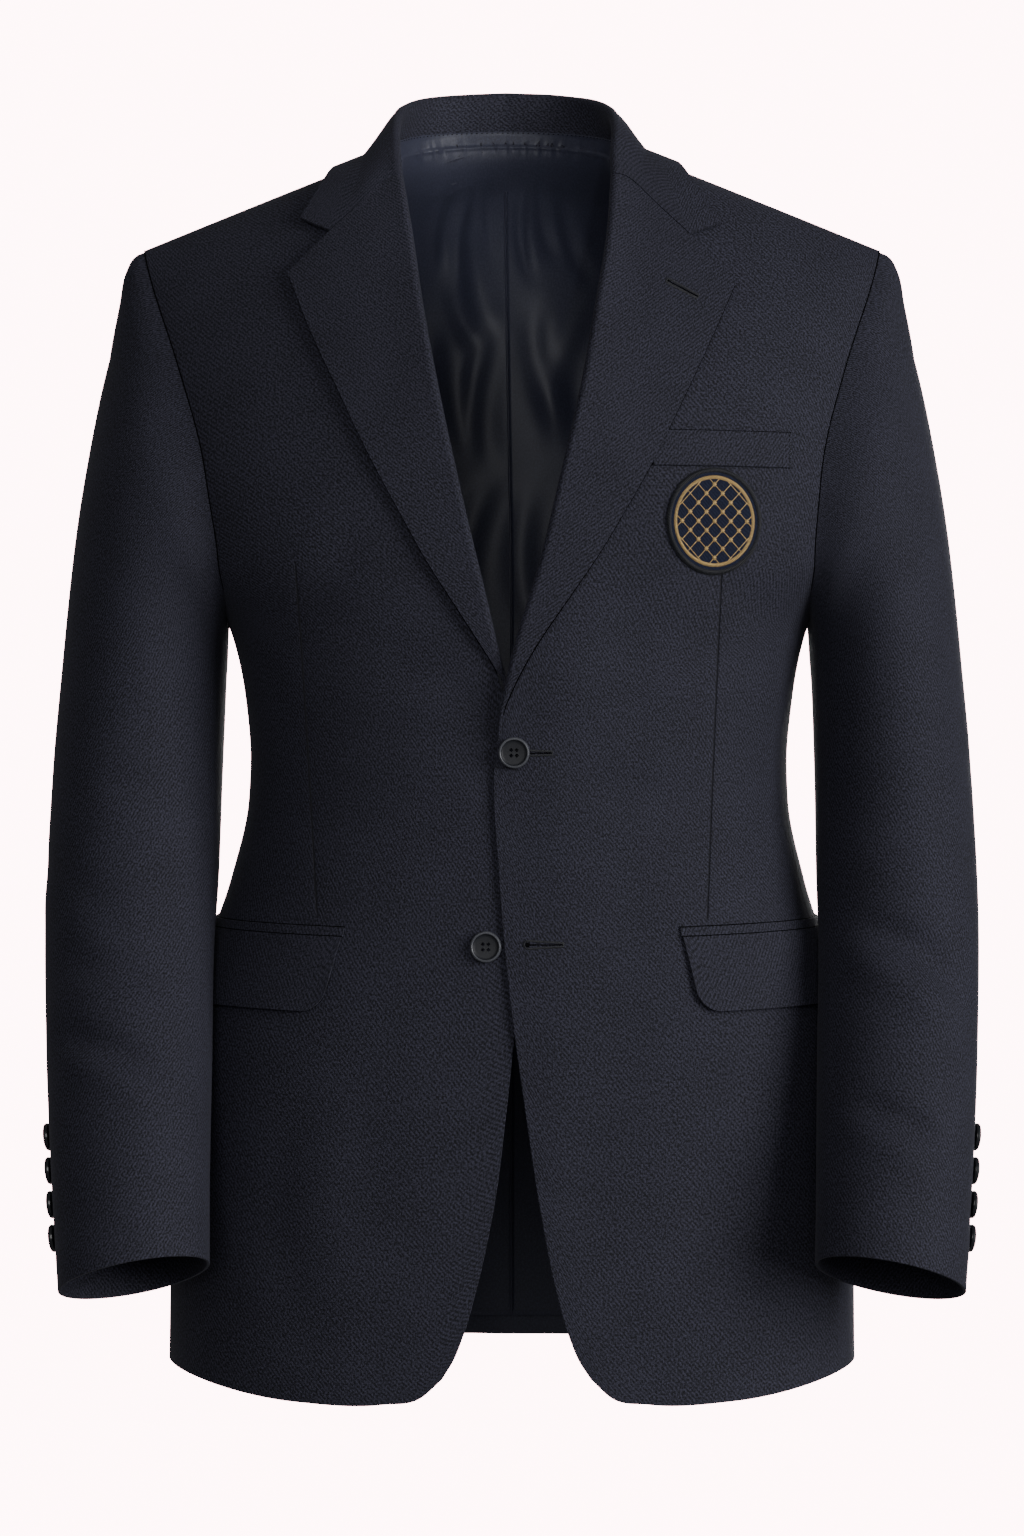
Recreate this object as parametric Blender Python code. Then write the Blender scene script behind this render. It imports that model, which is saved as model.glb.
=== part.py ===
"""Construction solids of a single-breasted blazer that keeps its worn shape with nobody in it.

Metres, +Z up. The wearer faces -Y, so +X is the wearer's left. The origin is midway between the two
points where the shoulder seams meet the neck. Each piece that a tailor cuts is one closed solid.
A panel lies on a form: "girth" runs round the body from 0 under the arm to 1 at the centre front
(-1 at the centre back), and "height" is the real height. Edges are drawn on the form, the panel is
blended between its four edges, and the cloth's wall is grown inwards from it.
"""

import math

import bmesh
import bpy
import numpy as np
from mathutils import Matrix

for leftover in list(bpy.data.objects):
    bpy.data.objects.remove(leftover, do_unlink=True)

# ---------------------------------------------------------------- driving sizes

WOOL_WALL = 0.0018  # wool panel with its canvas
TURNED_WALL = 0.0020  # collar, lapel: two layers pressed together
LINING_WALL = 0.0010
TRIM_WALL = 0.0012  # welt and jets
SEAM_GAP = 0.0003  # between two pieces that are sewn together
LYING_GAP = 0.0007  # under a piece that lies on a panel

BUST_HEIGHT = -0.330  # where the roll line ends, above the top button
NECK_CENTRE = -0.004  # the neck opening sits a little to the wearer's right
NECK_HALF_WIDTH = 0.078
NECK_DEPTH = 0.070  # from the shoulder seams back to the centre of the collar seam
NECK_RISE = 0.020  # the form goes on rising inside the neck
SHOULDER_SLOPE = 0.41
SHOULDER_TIP = 0.231
NECK_LINE = 0.080  # distance from the middle at which the shoulder line has the origin's height
SHOULDER_ROUND = 0.030  # the shoulder line curves this close to the middle
FRONT_DOME = (0.22, 1.6)  # height and power of the rounding from shoulder to chest
BACK_DOME = (0.16, 2.2)
RIDGE_FADE = 0.012  # depth over which the cloth's direction turns upright at the shoulder line
HEM = -0.755
FRONT_DROP = 0.016  # the fronts hang that much lower

SEAM_ROWS = 13  # panel rows from the hem up to the armhole
ARM_STEP = 15  # degrees of the armhole for each row
SIDE_START, SIDE_END = 165, 210  # the side body's share of the armhole
SLEEVE_FRONT_SEAM = 150
SLEEVE_BACK_SEAM = 300
SLEEVE_STEPS = (  # shares of the sleeve's length at its rows
    0, 0.010, 0.026, 0.055, 0.09, 0.13, 0.18, 0.24, 0.31, 0.39, 0.47, 0.55, 0.63, 0.71, 0.80, 0.90, 1)
CUFF_BACK_SEAM = 337  # the back seam turns outwards on its way down

OVERLAP_LIFT = 0.0032  # the wearer's left front lies over the right one
OVERLAP_REACH = (0.020, 0.080)  # across, over which that lift dies away
OVERLAP_TOP = (-0.26, -0.16)  # and upwards
BUST_LIFT, BUST_REACH = 0.0026, 0.035  # more lift where the lapel turns out
VENT_TOP = -0.535
VENT_LAP = 0.038
VENT_SINK = 0.0030
VENT_SINK_ACROSS = (-0.030, -0.004)
VENT_SINK_UP = 0.06
VENT_STEP = 0.012  # height over which the vent's lap begins
CENTRE_SHIFT_FROM = -0.30  # above it the centre seam runs over to the neck's middle
LINING_HEM = -0.742

ROLL_INSET = 0.0047  # the front's cut edge lies this far inside the roll
ROLL_INSET_TOP = 0.0012  # and this much further near the gorge, where the chest bends most
ROLL_RADIUS = 0.0025
BREAK_RADIUS = 0.0014  # tight where the roll begins
BREAK_HEIGHT = 0.0022  # height of the leaf's middle there
BREAK_REACH = 0.15  # share of the roll over which both grow
CURL_BLEND = 0.004
LEAF_HEIGHT = 0.0037  # middle of a lapel's wall over the front
LEAF_SPRING = 0.0014  # more height close to the roll
LEAF_SPRING_REACH = 0.016

BODY_FORM = (  # height, half width, front depth, back depth, lean of the waist towards +X
    (-0.790, 0.2155, 0.1350, 0.1250, 0.0000),
    (-0.755, 0.2150, 0.1345, 0.1240, 0.0000),
    (-0.650, 0.2135, 0.1330, 0.1190, 0.0005),
    (-0.570, 0.2095, 0.1320, 0.1120, 0.0015),
    (-0.507, 0.1965, 0.1310, 0.1060, 0.0025),
    (-0.456, 0.1800, 0.1300, 0.1010, 0.0034),
    (-0.406, 0.1692, 0.1300, 0.0990, 0.0040),
    (-0.381, 0.1682, 0.1305, 0.1000, 0.0042),
    (-0.343, 0.1714, 0.1310, 0.1040, 0.0044),
    (-0.300, 0.1806, 0.1310, 0.1110, 0.0040),
    (-0.260, 0.2080, 0.1305, 0.1170, 0.0028),
    (-0.200, 0.2270, 0.1290, 0.1210, 0.0008),
    (-0.120, 0.2360, 0.1230, 0.1210, 0.0000),
    (-0.050, 0.2400, 0.1130, 0.1150, 0.0000),
    (0.070, 0.2400, 0.1000, 0.1080, 0.0000),
)
ARMHOLE = (  # angle from the shoulder tip over the front, distance from the middle, height
    (0, 0.2310, -0.0604),
    (45, 0.2060, -0.1390),
    (90, 0.1885, -0.2090),
    (135, 0.1815, -0.2730),
    (180, None, -0.2960),
    (225, 0.1850, -0.2680),
    (270, 0.1960, -0.2000),
    (315, 0.2150, -0.1240),
    (360, 0.2310, -0.0604),
)
SLEEVE_FORM = (  # inner x, inner z, outer x, outer z, middle y, half depth
    (0.1815, -0.2960, 0.2310, -0.0604, -0.002, 0.0770),
    (0.1824, -0.3100, 0.2535, -0.1300, -0.002, 0.0828),
    (0.1828, -0.3180, 0.2650, -0.1850, -0.003, 0.0800),
    (0.1834, -0.3300, 0.2745, -0.2500, -0.006, 0.0755),
    (0.1842, -0.3600, 0.2812, -0.3200, -0.013, 0.0700),
    (0.1850, -0.4100, 0.2862, -0.3900, -0.027, 0.0640),
    (0.1852, -0.4750, 0.2885, -0.4700, -0.050, 0.0585),
    (0.1849, -0.5550, 0.2850, -0.5600, -0.084, 0.0530),
    (0.1842, -0.6300, 0.2795, -0.6400, -0.109, 0.0480),
    (0.1828, -0.6850, 0.2742, -0.7030, -0.127, 0.0445),
)
SLEEVE_HEAD = (  # share of the sleeve's length, roll of its head beyond the tube
    (0.000, 0.0000),
    (0.004, 0.0048),
    (0.011, 0.0072),
    (0.024, 0.0078),
    (0.055, 0.0046),
    (0.110, 0.0000),
)
SLEEVE_HEAD_REACH = 52  # degrees to each side of the shoulder tip
CUFF_RISE, CUFF_RISE_FROM = 0.0140, 0.72  # the sleeve swings forwards, so the cuff's front is raised
FRONT_EDGE_LEFT = (  # across, height: the wearer's left front, which lies on top
    (0.0476, -0.7547),
    (0.0398, -0.7426),
    (0.0349, -0.7306),
    (0.0262, -0.7000),
    (0.0170, -0.6530),
    (0.0075, -0.5900),
    (-0.0012, -0.5258),
    (-0.0078, -0.4535),
    (-0.0090, -0.3700),
    (-0.0062, -0.3380),
)
FRONT_EDGE_RIGHT = (  # the wearer's right front, which lies under it
    (-0.0422, -0.7547),
    (-0.0349, -0.7426),
    (-0.0301, -0.7306),
    (-0.0210, -0.6990),
    (-0.0098, -0.6450),
    (-0.0035, -0.5950),
    (0.0015, -0.5480),
    (0.0070, -0.4655),
    (0.0085, -0.3850),
    (0.0040, -0.3500),
)
ROLL_LEFT = (  # across, height of the fold where the lapel turns out
    (-0.0042, -0.3345),
    (0.0012, -0.3118),
    (0.0157, -0.2639),
    (0.0279, -0.2134),
    (0.0402, -0.1593),
    (0.0510, -0.0990),
    (0.0577, -0.0574),
    (0.0608, -0.0190),
)
ROLL_RIGHT = (
    (-0.0020, -0.3365),
    (-0.0048, -0.3265),
    (-0.0163, -0.2785),
    (-0.0285, -0.2278),
    (-0.0408, -0.1718),
    (-0.0545, -0.0986),
    (-0.0598, -0.0624),
    (-0.0671, -0.0190),
)
LAPEL_EDGE_LEFT = (  # outer edge, from the bottom of the roll up to the lapel's point
    (0.0030, -0.3330),
    (0.0080, -0.3235),
    (0.0156, -0.3105),
    (0.0325, -0.2855),
    (0.0509, -0.2585),
    (0.0699, -0.2270),
    (0.0845, -0.2010),
    (0.0925, -0.1848),
    (0.1110, -0.1460),
    (0.1285, -0.1075),
    (0.1372, -0.0875),
)
LAPEL_EDGE_RIGHT = (
    (-0.0085, -0.3290),
    (-0.0125, -0.3215),
    (-0.0195, -0.3105),
    (-0.0316, -0.2915),
    (-0.0505, -0.2620),
    (-0.0672, -0.2318),
    (-0.0861, -0.1965),
    (-0.1035, -0.1600),
    (-0.1215, -0.1215),
    (-0.1372, -0.0825),
)
GORGE_LEFT = ((0.0625, -0.0185), (0.0710, -0.0245), (0.0880, -0.0400), (0.1085, -0.0585))
GORGE_RIGHT = ((-0.0690, -0.0160), (-0.0750, -0.0215), (-0.0950, -0.0405), (-0.1115, -0.0560))
COLLAR_POINT_LEFT = (0.1290, -0.0500)
COLLAR_POINT_RIGHT = (-0.1305, -0.0470)
COLLAR_FOLD = (  # from the centre back forwards: across from the neck's middle, depth, height
    (0.0000, 0.0780, 0.0480),
    (0.0350, 0.0700, 0.0455),
    (0.0570, 0.0460, 0.0390),
    (0.0662, 0.0180, 0.0290),
    (0.0676, -0.0100, 0.0120),
    (0.0655, -0.0270, -0.0050),
)
COLLAR_EDGE_HALF_WIDTH = 0.107  # outer edge of the leaf, at the shoulder seam
COLLAR_EDGE_DEPTH = 0.085  # and at the centre back
COLLAR_EDGE_POWER = 1.5
COLLAR_SHOULDER_DROP = 0.004  # the edge meets the shoulder line that much lower in front
COLLAR_BULGE = 0.0030  # of the leaf at the centre back
COLLAR_BLEND = 0.20  # share of the collar over which the roll turns into the stand

FLAP_LENGTH, FLAP_HEIGHT, FLAP_CORNER = 0.155, 0.0455, 0.013
FLAP_START = 0.1030  # front corner, from the middle
FLAP_TOP = -0.4885
FLAP_RISE = 0.0045  # its end under the arm is that much higher
FLAP_SLANT = 0.0050  # its front edge runs that much outwards on its way down
FLAP_SPRING = 0.0012  # its lower edge stands off a little more
JET_HEIGHT, JET_OVERHANG = 0.0056, 0.0008
WELT_START, WELT_END, WELT_TOP, WELT_HEIGHT = 0.0850, 0.1706, -0.1814, 0.0215
PATCH_CENTRE, PATCH_HALF = (0.1223, -0.2364), (0.0285, 0.0320)
PATCH_THICK, PATCH_RIM, PATCH_RIM_START = 0.0012, 0.0008, 0.8
FRONT_BUTTONS = (("front_button_1", 1, 0.0012, -0.3768), ("front_button_2", -1, -0.0158, -0.4940))
FRONT_BUTTON_RADIUS, CUFF_BUTTON_RADIUS = 0.0095, 0.0085
CUFF_BUTTON_PITCH = 0.0198
CUFF_BUTTON_LAST = 0.034  # from the cuff's edge to the lowest button
CUFF_BUTTON_ANGLE = 349  # on the sleeve, just behind its outermost line

CLOTH = (0.022, 0.024, 0.036, 1)
LINING = (0.024, 0.030, 0.060, 1)
FELT = (0.016, 0.020, 0.045, 1)
HORN = (0.010, 0.011, 0.015, 1)

# ---------------------------------------------------------------- curves and tables


def read_table(rows, at, column):
    """One column of a table read at any value of its first column, without overshoot."""
    table = np.array(rows, float)
    table = table[np.argsort(table[:, 0])]
    xs, ys = table[:, 0], table[:, column]
    steps = np.diff(xs)
    rises = np.diff(ys) / steps
    slopes = np.zeros(len(xs))
    slopes[0], slopes[-1] = rises[0], rises[-1]
    same = rises[:-1] * rises[1:] > 0
    slopes[1:-1][same] = 2 * (rises[:-1] * rises[1:])[same] / (rises[:-1] + rises[1:])[same]
    at = np.clip(np.asarray(at, float), xs[0], xs[-1])
    k = np.clip(np.searchsorted(xs, at) - 1, 0, len(xs) - 2)
    f = (at - xs[k]) / steps[k]
    rise = (3 - 2 * f) * f**2
    tangents = f * (1 - f) ** 2 * slopes[k] - f**2 * (1 - f) * slopes[k + 1]
    return ys[k] * (1 - rise) + ys[k + 1] * rise + steps[k] * tangents


def curve(points, shares):
    """Points at the given shares of the length of a smooth curve through the given points."""
    points = np.array(points, float)
    chords = np.linalg.norm(np.diff(points, axis=0), axis=1)
    knots = np.concatenate([[0], np.cumsum(chords)])
    slopes = np.gradient(points, knots, axis=0)
    fine = np.linspace(0, knots[-1], 400)
    k = np.clip(np.searchsorted(knots, fine) - 1, 0, len(knots) - 2)
    step = (knots[k + 1] - knots[k])[:, None]
    f = (fine - knots[k])[:, None] / step
    rise = (3 - 2 * f) * f**2
    tangents = f * (1 - f) ** 2 * slopes[k] - f**2 * (1 - f) * slopes[k + 1]
    traced = points[k] * (1 - rise) + points[k + 1] * rise + step * tangents
    return share_points(traced, shares)


def lengths_along(points):
    """Share of its length at each point of a line of points."""
    steps = np.linalg.norm(np.diff(points, axis=0), axis=1)
    total = np.concatenate([[0], np.cumsum(steps)])
    return total / total[-1]


def share_points(points, shares):
    """Points at the given shares of a line of points."""
    at = lengths_along(points)
    return np.stack([np.interp(shares, at, column) for column in points.T], axis=-1)


def unit(vector):
    return vector / np.linalg.norm(vector, axis=-1, keepdims=True)


def ease(value, start, end):
    """0 before start, 1 after end, smooth between."""
    f = np.clip((value - start) / (end - start), 0, 1)
    return f * f * (3 - 2 * f)


# ---------------------------------------------------------------- the body's form

RING_POWER = 2.4
_turn = np.linspace(0, math.pi / 2, 721)
RING_ACROSS = np.cos(_turn).clip(0) ** (2 / RING_POWER)
RING_DEEP = np.sin(_turn) ** (2 / RING_POWER)
RING_GIRTH = lengths_along(np.stack([0.20 * RING_ACROSS, 0.125 * RING_DEEP], axis=-1))


def girth_at(across):
    """Girth of a place given as a share of the half width; past the middle it is more than 1."""
    across = np.asarray(across, float)
    girth = np.interp(np.abs(across), RING_ACROSS[::-1], RING_GIRTH[::-1])
    return np.where(across < 0, 2 - girth, girth)


def ridge_height(across):
    """Height of the shoulder line over a distance from the middle."""
    rounded = np.hypot(across, SHOULDER_ROUND) - math.hypot(NECK_LINE, SHOULDER_ROUND)
    inside = np.clip(1 - (np.abs(across) / NECK_LINE) ** 2, 0, 1) ** 2
    return -SHOULDER_SLOPE * rounded + NECK_RISE * inside


def dome(drop, height_power):
    """Depth, as a share, at a drop below the shoulder line."""
    height, power = height_power
    share = np.clip(drop / height, 0, 1)
    return (1 - (1 - share) ** power) ** (1 / power)


def body_point(side, girth, height):
    """Point on the outside of the body, for side +1 (the wearer's left) or -1."""
    girth = np.asarray(girth, float)
    height = np.asarray(height, float)
    behind = girth < 0
    folded = np.abs(girth)
    past = folded > 1
    folded = np.where(past, 2 - folded, folded)
    across = np.interp(folded, RING_GIRTH, RING_ACROSS) * np.where(past, -1, 1)
    deep = np.interp(folded, RING_GIRTH, RING_DEEP)
    out = read_table(BODY_FORM, height, 1) * across
    drop = ridge_height(out) - height
    front = read_table(BODY_FORM, height, 2) * deep * dome(drop, FRONT_DOME)
    back = read_table(BODY_FORM, height, 3) * deep * dome(drop, BACK_DOME)
    parting = 0.5 * SEAM_GAP * ease(folded, 0.0, 0.3)
    y = np.where(behind, back + parting, -front - parting)
    x = side * out + read_table(BODY_FORM, height, 4)
    return np.stack([x, y, np.broadcast_to(height, x.shape)], axis=-1)


def body_normal(side, girth, height):
    """Outward direction of the body's form."""
    step = 1e-4
    girth = np.asarray(girth, float)
    height = np.asarray(height, float)
    round_it = body_point(side, girth + step, height) - body_point(side, girth - step, height)
    up_it = body_point(side, girth, height) - body_point(side, girth, height - step)
    normal = unit(-side * np.cross(round_it, up_it))
    normal[..., 1] *= ease(np.abs(body_point(side, girth, height)[..., 1]), 0.0, RIDGE_FADE)
    return unit(normal)


def on_form(side, across, height, behind=False):
    """Domain place (girth, height) of a point seen from the front."""
    across = np.asarray(across, float)
    height = np.asarray(height, float)
    share = side * (across - read_table(BODY_FORM, height, 4)) / read_table(BODY_FORM, height, 1)
    girth = girth_at(share)
    return np.stack([np.where(behind, -girth, girth), np.broadcast_to(height, girth.shape)], axis=-1)


def overlap_lift(across, height):
    """How far the top front stands off where it lies over the other front."""
    near = 1 - ease(across, *OVERLAP_REACH)
    bust = BUST_LIFT * np.exp(-(((height - BUST_HEIGHT) / BUST_REACH) ** 2))
    return near * (OVERLAP_LIFT + bust) * (1 - ease(height, *OVERLAP_TOP))


def vent_sink(side, across, height):
    """How far the under half of the vent lies inside the other half."""
    if side > 0:
        return np.zeros_like(across)
    low = 1 - ease(height, VENT_TOP, VENT_TOP + VENT_SINK_UP)
    return VENT_SINK * ease(across, *VENT_SINK_ACROSS) * low


def cloth_point(side, place, out=0.0):
    """Point of the cloth for domain places, moved out along the form's normal."""
    girth, height = place[..., 0], place[..., 1]
    point = body_point(side, girth, height)
    normal = body_normal(side, girth, height)
    lift = np.zeros_like(girth)
    if side > 0:
        lift = np.where(girth > 0, overlap_lift(point[..., 0], height), 0)
    sink = np.where(girth < 0, vent_sink(side, point[..., 0], height), 0)
    return point + normal * (lift - sink + out)[..., None]


# ---------------------------------------------------------------- solids

materials = {}


def material(name, colour, roughness, coat=0.0):
    made = bpy.data.materials.new(name)
    made.diffuse_color = colour
    made.use_nodes = True
    shader = made.node_tree.nodes["Principled BSDF"]
    shader.inputs["Base Color"].default_value = colour
    shader.inputs["Roughness"].default_value = roughness
    shader.inputs["Metallic"].default_value = 0.0
    shader.inputs["Coat Weight"].default_value = coat
    materials[name] = made


def finish(name, mesh, look):
    """Object for a mesh, with smooth shading and its material."""
    mesh.materials.clear()
    mesh.materials.append(materials[look])
    mesh.shade_smooth()
    mesh.set_sharp_from_angle(angle=math.radians(40))
    made = bpy.data.objects.new(name, mesh)
    bpy.context.collection.objects.link(made)
    return made


def wall(name, outer, inner, look="wool"):
    """Closed cloth wall between two grids of points of the same size."""
    rows, columns = outer.shape[0] - 1, outer.shape[1] - 1
    bm = bmesh.new()
    bmesh.ops.create_grid(bm, x_segments=columns, y_segments=rows, size=0.5)
    for vertex, place in zip(bm.verts, outer.reshape(-1, 3)):
        vertex.co = place
    copied = bmesh.ops.extrude_face_region(bm, geom=list(bm.faces), use_keep_orig=True)
    moved = [item for item in copied["geom"] if isinstance(item, bmesh.types.BMVert)]
    where = {tuple(np.float32(place)): inside for place, inside in
             zip(outer.reshape(-1, 3), inner.reshape(-1, 3))}
    for vertex in moved:
        vertex.co = where[tuple(np.float32(vertex.co))]
    bmesh.ops.recalc_face_normals(bm, faces=bm.faces)
    if bm.calc_volume(signed=True) < 0:
        bmesh.ops.reverse_faces(bm, faces=bm.faces)
    mesh = bpy.data.meshes.new(name)
    bm.to_mesh(mesh)
    bm.free()
    return finish(name, mesh, look)


def coons(left, right, bottom, top):
    """Grid blended between four edges; rows run from bottom to top."""
    v = np.linspace(0, 1, len(left))[:, None, None]
    u = np.linspace(0, 1, len(bottom))[None, :, None]
    across = (1 - u) * left[:, None] + u * right[:, None]
    up = (1 - v) * bottom[None] + v * top[None]
    corners = (1 - u) * (1 - v) * left[0] + u * (1 - v) * right[0]
    corners = corners + (1 - u) * v * left[-1] + u * v * right[-1]
    return across + up - corners


def body_panel(side, left, right, bottom, top, rows):
    """Places on the form for a panel whose rows are evenly spread on the real cloth.

    left and right are given with FINE places for each row, bottom and top with one for each column.
    """
    domain = coons(left, right, bottom, top)
    points = body_point(side, domain[..., 0], domain[..., 1])
    shares = [lengths_along(points[:, c])[::FINE] for c in (0, -1)]
    result = np.empty((rows + 1, len(bottom), 2))
    for c in range(len(bottom)):
        mix = c / (len(bottom) - 1)
        target = (1 - mix) * shares[0] + mix * shares[1]
        at = lengths_along(points[:, c])
        for k in range(2):
            result[:, c, k] = np.interp(target, at, domain[:, c, k])
    return result


FINE = 8


def row_steps(rows):
    return np.linspace(0, rows, rows * FINE + 1)


# ---------------------------------------------------------------- seams on the form


def armhole(angle):
    """Domain place of the armhole seam at an angle from the shoulder tip over the front."""
    table = []
    for degrees, across, height in ARMHOLE:
        girth = 0.0
        if across is not None:
            girth = float(on_form(1, across + read_table(BODY_FORM, height, 4), height)[0])
        table.append((degrees, girth if degrees < 180 else -girth, height))
    table = np.array(table)
    slopes = np.gradient(table[:, 1:], table[:, 0], axis=0)
    angle = np.asarray(angle, float)
    k = np.clip((angle // 45).astype(int), 0, 7)
    f = ((angle - table[k, 0]) / 45)[..., None]
    rise = (3 - 2 * f) * f**2
    tangents = 45 * (f * (1 - f) ** 2 * slopes[k] - f**2 * (1 - f) * slopes[k + 1])
    return table[k, 1:] * (1 - rise) + table[k + 1, 1:] * rise + tangents


def hem_height(girth):
    """The fronts hang a little lower than the back."""
    return HEM - FRONT_DROP * ease(girth, 0.05, 0.60)


FRONT_SEAM_HEM, BACK_SEAM_HEM = 0.22, -0.22  # girths of the side body's seams at the hem
SEAM_BEND = 1.5  # power with which they turn outwards at the armhole
FRONT_SEAM_TOP = armhole(SIDE_START)
BACK_SEAM_TOP = armhole(SIDE_END)


def under_arm_seam(row, hem_girth, top):
    """Seam from the hem up to the armhole, by row."""
    share = np.asarray(row, float) / SEAM_ROWS
    low = hem_height(hem_girth)
    height = low + (top[1] - low) * share
    girth = hem_girth + (top[0] - hem_girth) * share**SEAM_BEND
    return np.stack([girth, height], axis=-1)


def front_side_edge(row):
    """The front's edge under the arm and round the armhole, by row."""
    row = np.asarray(row, float)
    angle = SIDE_START - ARM_STEP * np.clip(row - SEAM_ROWS, 0, None)
    seam = under_arm_seam(np.clip(row, 0, SEAM_ROWS), FRONT_SEAM_HEM, FRONT_SEAM_TOP)
    return np.where(row[..., None] > SEAM_ROWS, armhole(angle.clip(0, 360)), seam)


def back_side_edge(row):
    row = np.asarray(row, float)
    angle = SIDE_END + ARM_STEP * np.clip(row - SEAM_ROWS, 0, None)
    seam = under_arm_seam(np.clip(row, 0, SEAM_ROWS), BACK_SEAM_HEM, BACK_SEAM_TOP)
    return np.where(row[..., None] > SEAM_ROWS, armhole(angle.clip(0, 360)), seam)


def shoulder_seam(side, shares, behind):
    """The ridge from the neck point out to the shoulder tip."""
    neck = NECK_HALF_WIDTH + side * NECK_CENTRE
    out = neck + (SHOULDER_TIP - neck) * np.asarray(shares, float)
    height = ridge_height(out)
    girth = girth_at(out / read_table(BODY_FORM, height, 1))
    return np.stack([np.where(behind, -girth, girth), height], axis=-1)


def roll_line(side):
    return ROLL_LEFT if side > 0 else ROLL_RIGHT


def inset_roll(side):
    """Cut edge of the front along the roll, a little outside the visible fold."""
    roll = curve(roll_line(side), np.linspace(0, 1, 9))
    along = np.gradient(roll, axis=0)
    along = along / np.linalg.norm(along, axis=1, keepdims=True)
    outward = np.stack([along[:, 1], -along[:, 0]], axis=-1) * side
    inset = ROLL_INSET + ROLL_INSET_TOP * ease(np.linspace(0, 1, 9), 0.6, 0.9)
    return roll + outward * inset[:, None]


def front_neck_point(side):
    """Where the front's neck seam reaches the shoulder seam, seen from the front."""
    place = shoulder_seam(side, [0.0], False)[0]
    return body_point(side, place[0], place[1])[[0, 2]]


NECK_BEND = 0.45  # share of the way from the roll to the shoulder where the neck seam bends most


def front_free_edge(side):
    """The front's free edge seen from the front: cutaway, break, roll line, neck seam."""
    edge = FRONT_EDGE_LEFT if side > 0 else FRONT_EDGE_RIGHT
    roll = inset_roll(side)
    neck = front_neck_point(side)
    bend = NECK_BEND * neck + (1 - NECK_BEND) * roll[-1] + np.array([side * 0.0012, -0.0008])
    return np.concatenate([np.array(edge), roll, [bend], [neck]])


STEP_HEIGHT = 0.001  # of the short row in which the edge steps in under the lapel
TOP_CROWDING = 0.4  # how much closer the rows lie near the neck


def front_edge_places(side, rows_below, rows_above):
    """Fine places of the free edge, with one short row where it steps in under the lapel."""
    traced = curve(front_free_edge(side), np.linspace(0, 1, 900))
    edge = FRONT_EDGE_LEFT if side > 0 else FRONT_EDGE_RIGHT
    step = [edge[-1][1], inset_roll(side)[0][1] + STEP_HEIGHT]
    start, end = np.interp(step, traced[:, 1], lengths_along(traced))
    low = np.linspace(0, start, rows_below * FINE + 1)
    middle = np.linspace(start, end, FINE + 1)[1:]
    share = np.linspace(0, 1, (rows_above - 1) * FINE + 1)[1:]
    high = end + (1 - end) * (share + TOP_CROWDING / math.pi * np.sin(math.pi * share))
    seen = share_points(traced, np.concatenate([low, middle, high]))
    places = on_form(side, seen[:, 0], seen[:, 1])
    places[-1] = shoulder_seam(side, [0.0], False)[0]
    return places


# ---------------------------------------------------------------- fronts, side bodies, backs

FRONT_COLUMNS, BACK_NECK_COLUMNS, BACK_SHOULDER_COLUMNS = 10, 6, 5
FRONT_ARM_ROWS = SIDE_START // ARM_STEP
BACK_ARM_ROWS = (360 - SIDE_END) // ARM_STEP
GIRTH_GAP = 0.0007  # half a seam gap, as girth
ARMHOLE_BOTTOM = -0.300  # height at the centre back of the row that meets the armhole's lowest point


HEM_CORNER = (  # share of the way to the seam under the arm, rise over the hem
    (0.07, 0.0050),
    (0.20, 0.0005),
    (0.50, 0.0000),
)


def front_hem(start, end, shares):
    """The front's hem from its rounded corner to the seam under the arm."""
    line = [start]
    for share, rise in HEM_CORNER:
        girth = start[0] + (end[0] - start[0]) * share
        line.append((girth, hem_height(girth) + rise))
    return curve([*line, end], shares)


def front_places(side):
    rows = SEAM_ROWS + FRONT_ARM_ROWS
    left = front_edge_places(side, SEAM_ROWS, FRONT_ARM_ROWS)
    right = front_side_edge(row_steps(rows))
    right[: SEAM_ROWS * FINE + 1, 0] += GIRTH_GAP
    shares = np.linspace(0, 1, FRONT_COLUMNS + 1)
    bottom = front_hem(left[0], right[0], shares)
    top = shoulder_seam(side, shares, False)
    return body_panel(side, left, right, bottom, top, rows)


def make_front(name, side):
    places = front_places(side)
    wall(name, cloth_point(side, places), cloth_point(side, places, -WOOL_WALL))


def make_side(name, side):
    columns = (SIDE_END - SIDE_START) // ARM_STEP
    left = front_side_edge(row_steps(SEAM_ROWS))
    right = back_side_edge(row_steps(SEAM_ROWS))
    left[:, 0] -= GIRTH_GAP
    right[:, 0] += GIRTH_GAP
    shares = np.linspace(0, 1, columns + 1)
    girth = left[0, 0] + (right[0, 0] - left[0, 0]) * shares
    bottom = np.stack([girth, hem_height(girth)], axis=-1)
    top = armhole(SIDE_START + ARM_STEP * np.arange(columns + 1))
    top[0] = left[-1]
    top[-1] = right[-1]
    places = body_panel(side, left, right, bottom, top, SEAM_ROWS)
    wall(name, cloth_point(side, places), cloth_point(side, places, -WOOL_WALL))


def back_height(across, deep):
    """Height of the back's form over a place in plan, close to the neck."""
    half_width, depth = (read_table(BODY_FORM, 0.0, column) for column in (1, 3))
    ring_depth = depth * (1 - (np.abs(across) / half_width) ** RING_POWER) ** (1 / RING_POWER)
    share = np.clip(deep / ring_depth, 0, 1)
    height, power = BACK_DOME
    return ridge_height(across) - height * (1 - (1 - share**power) ** (1 / power))


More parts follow.
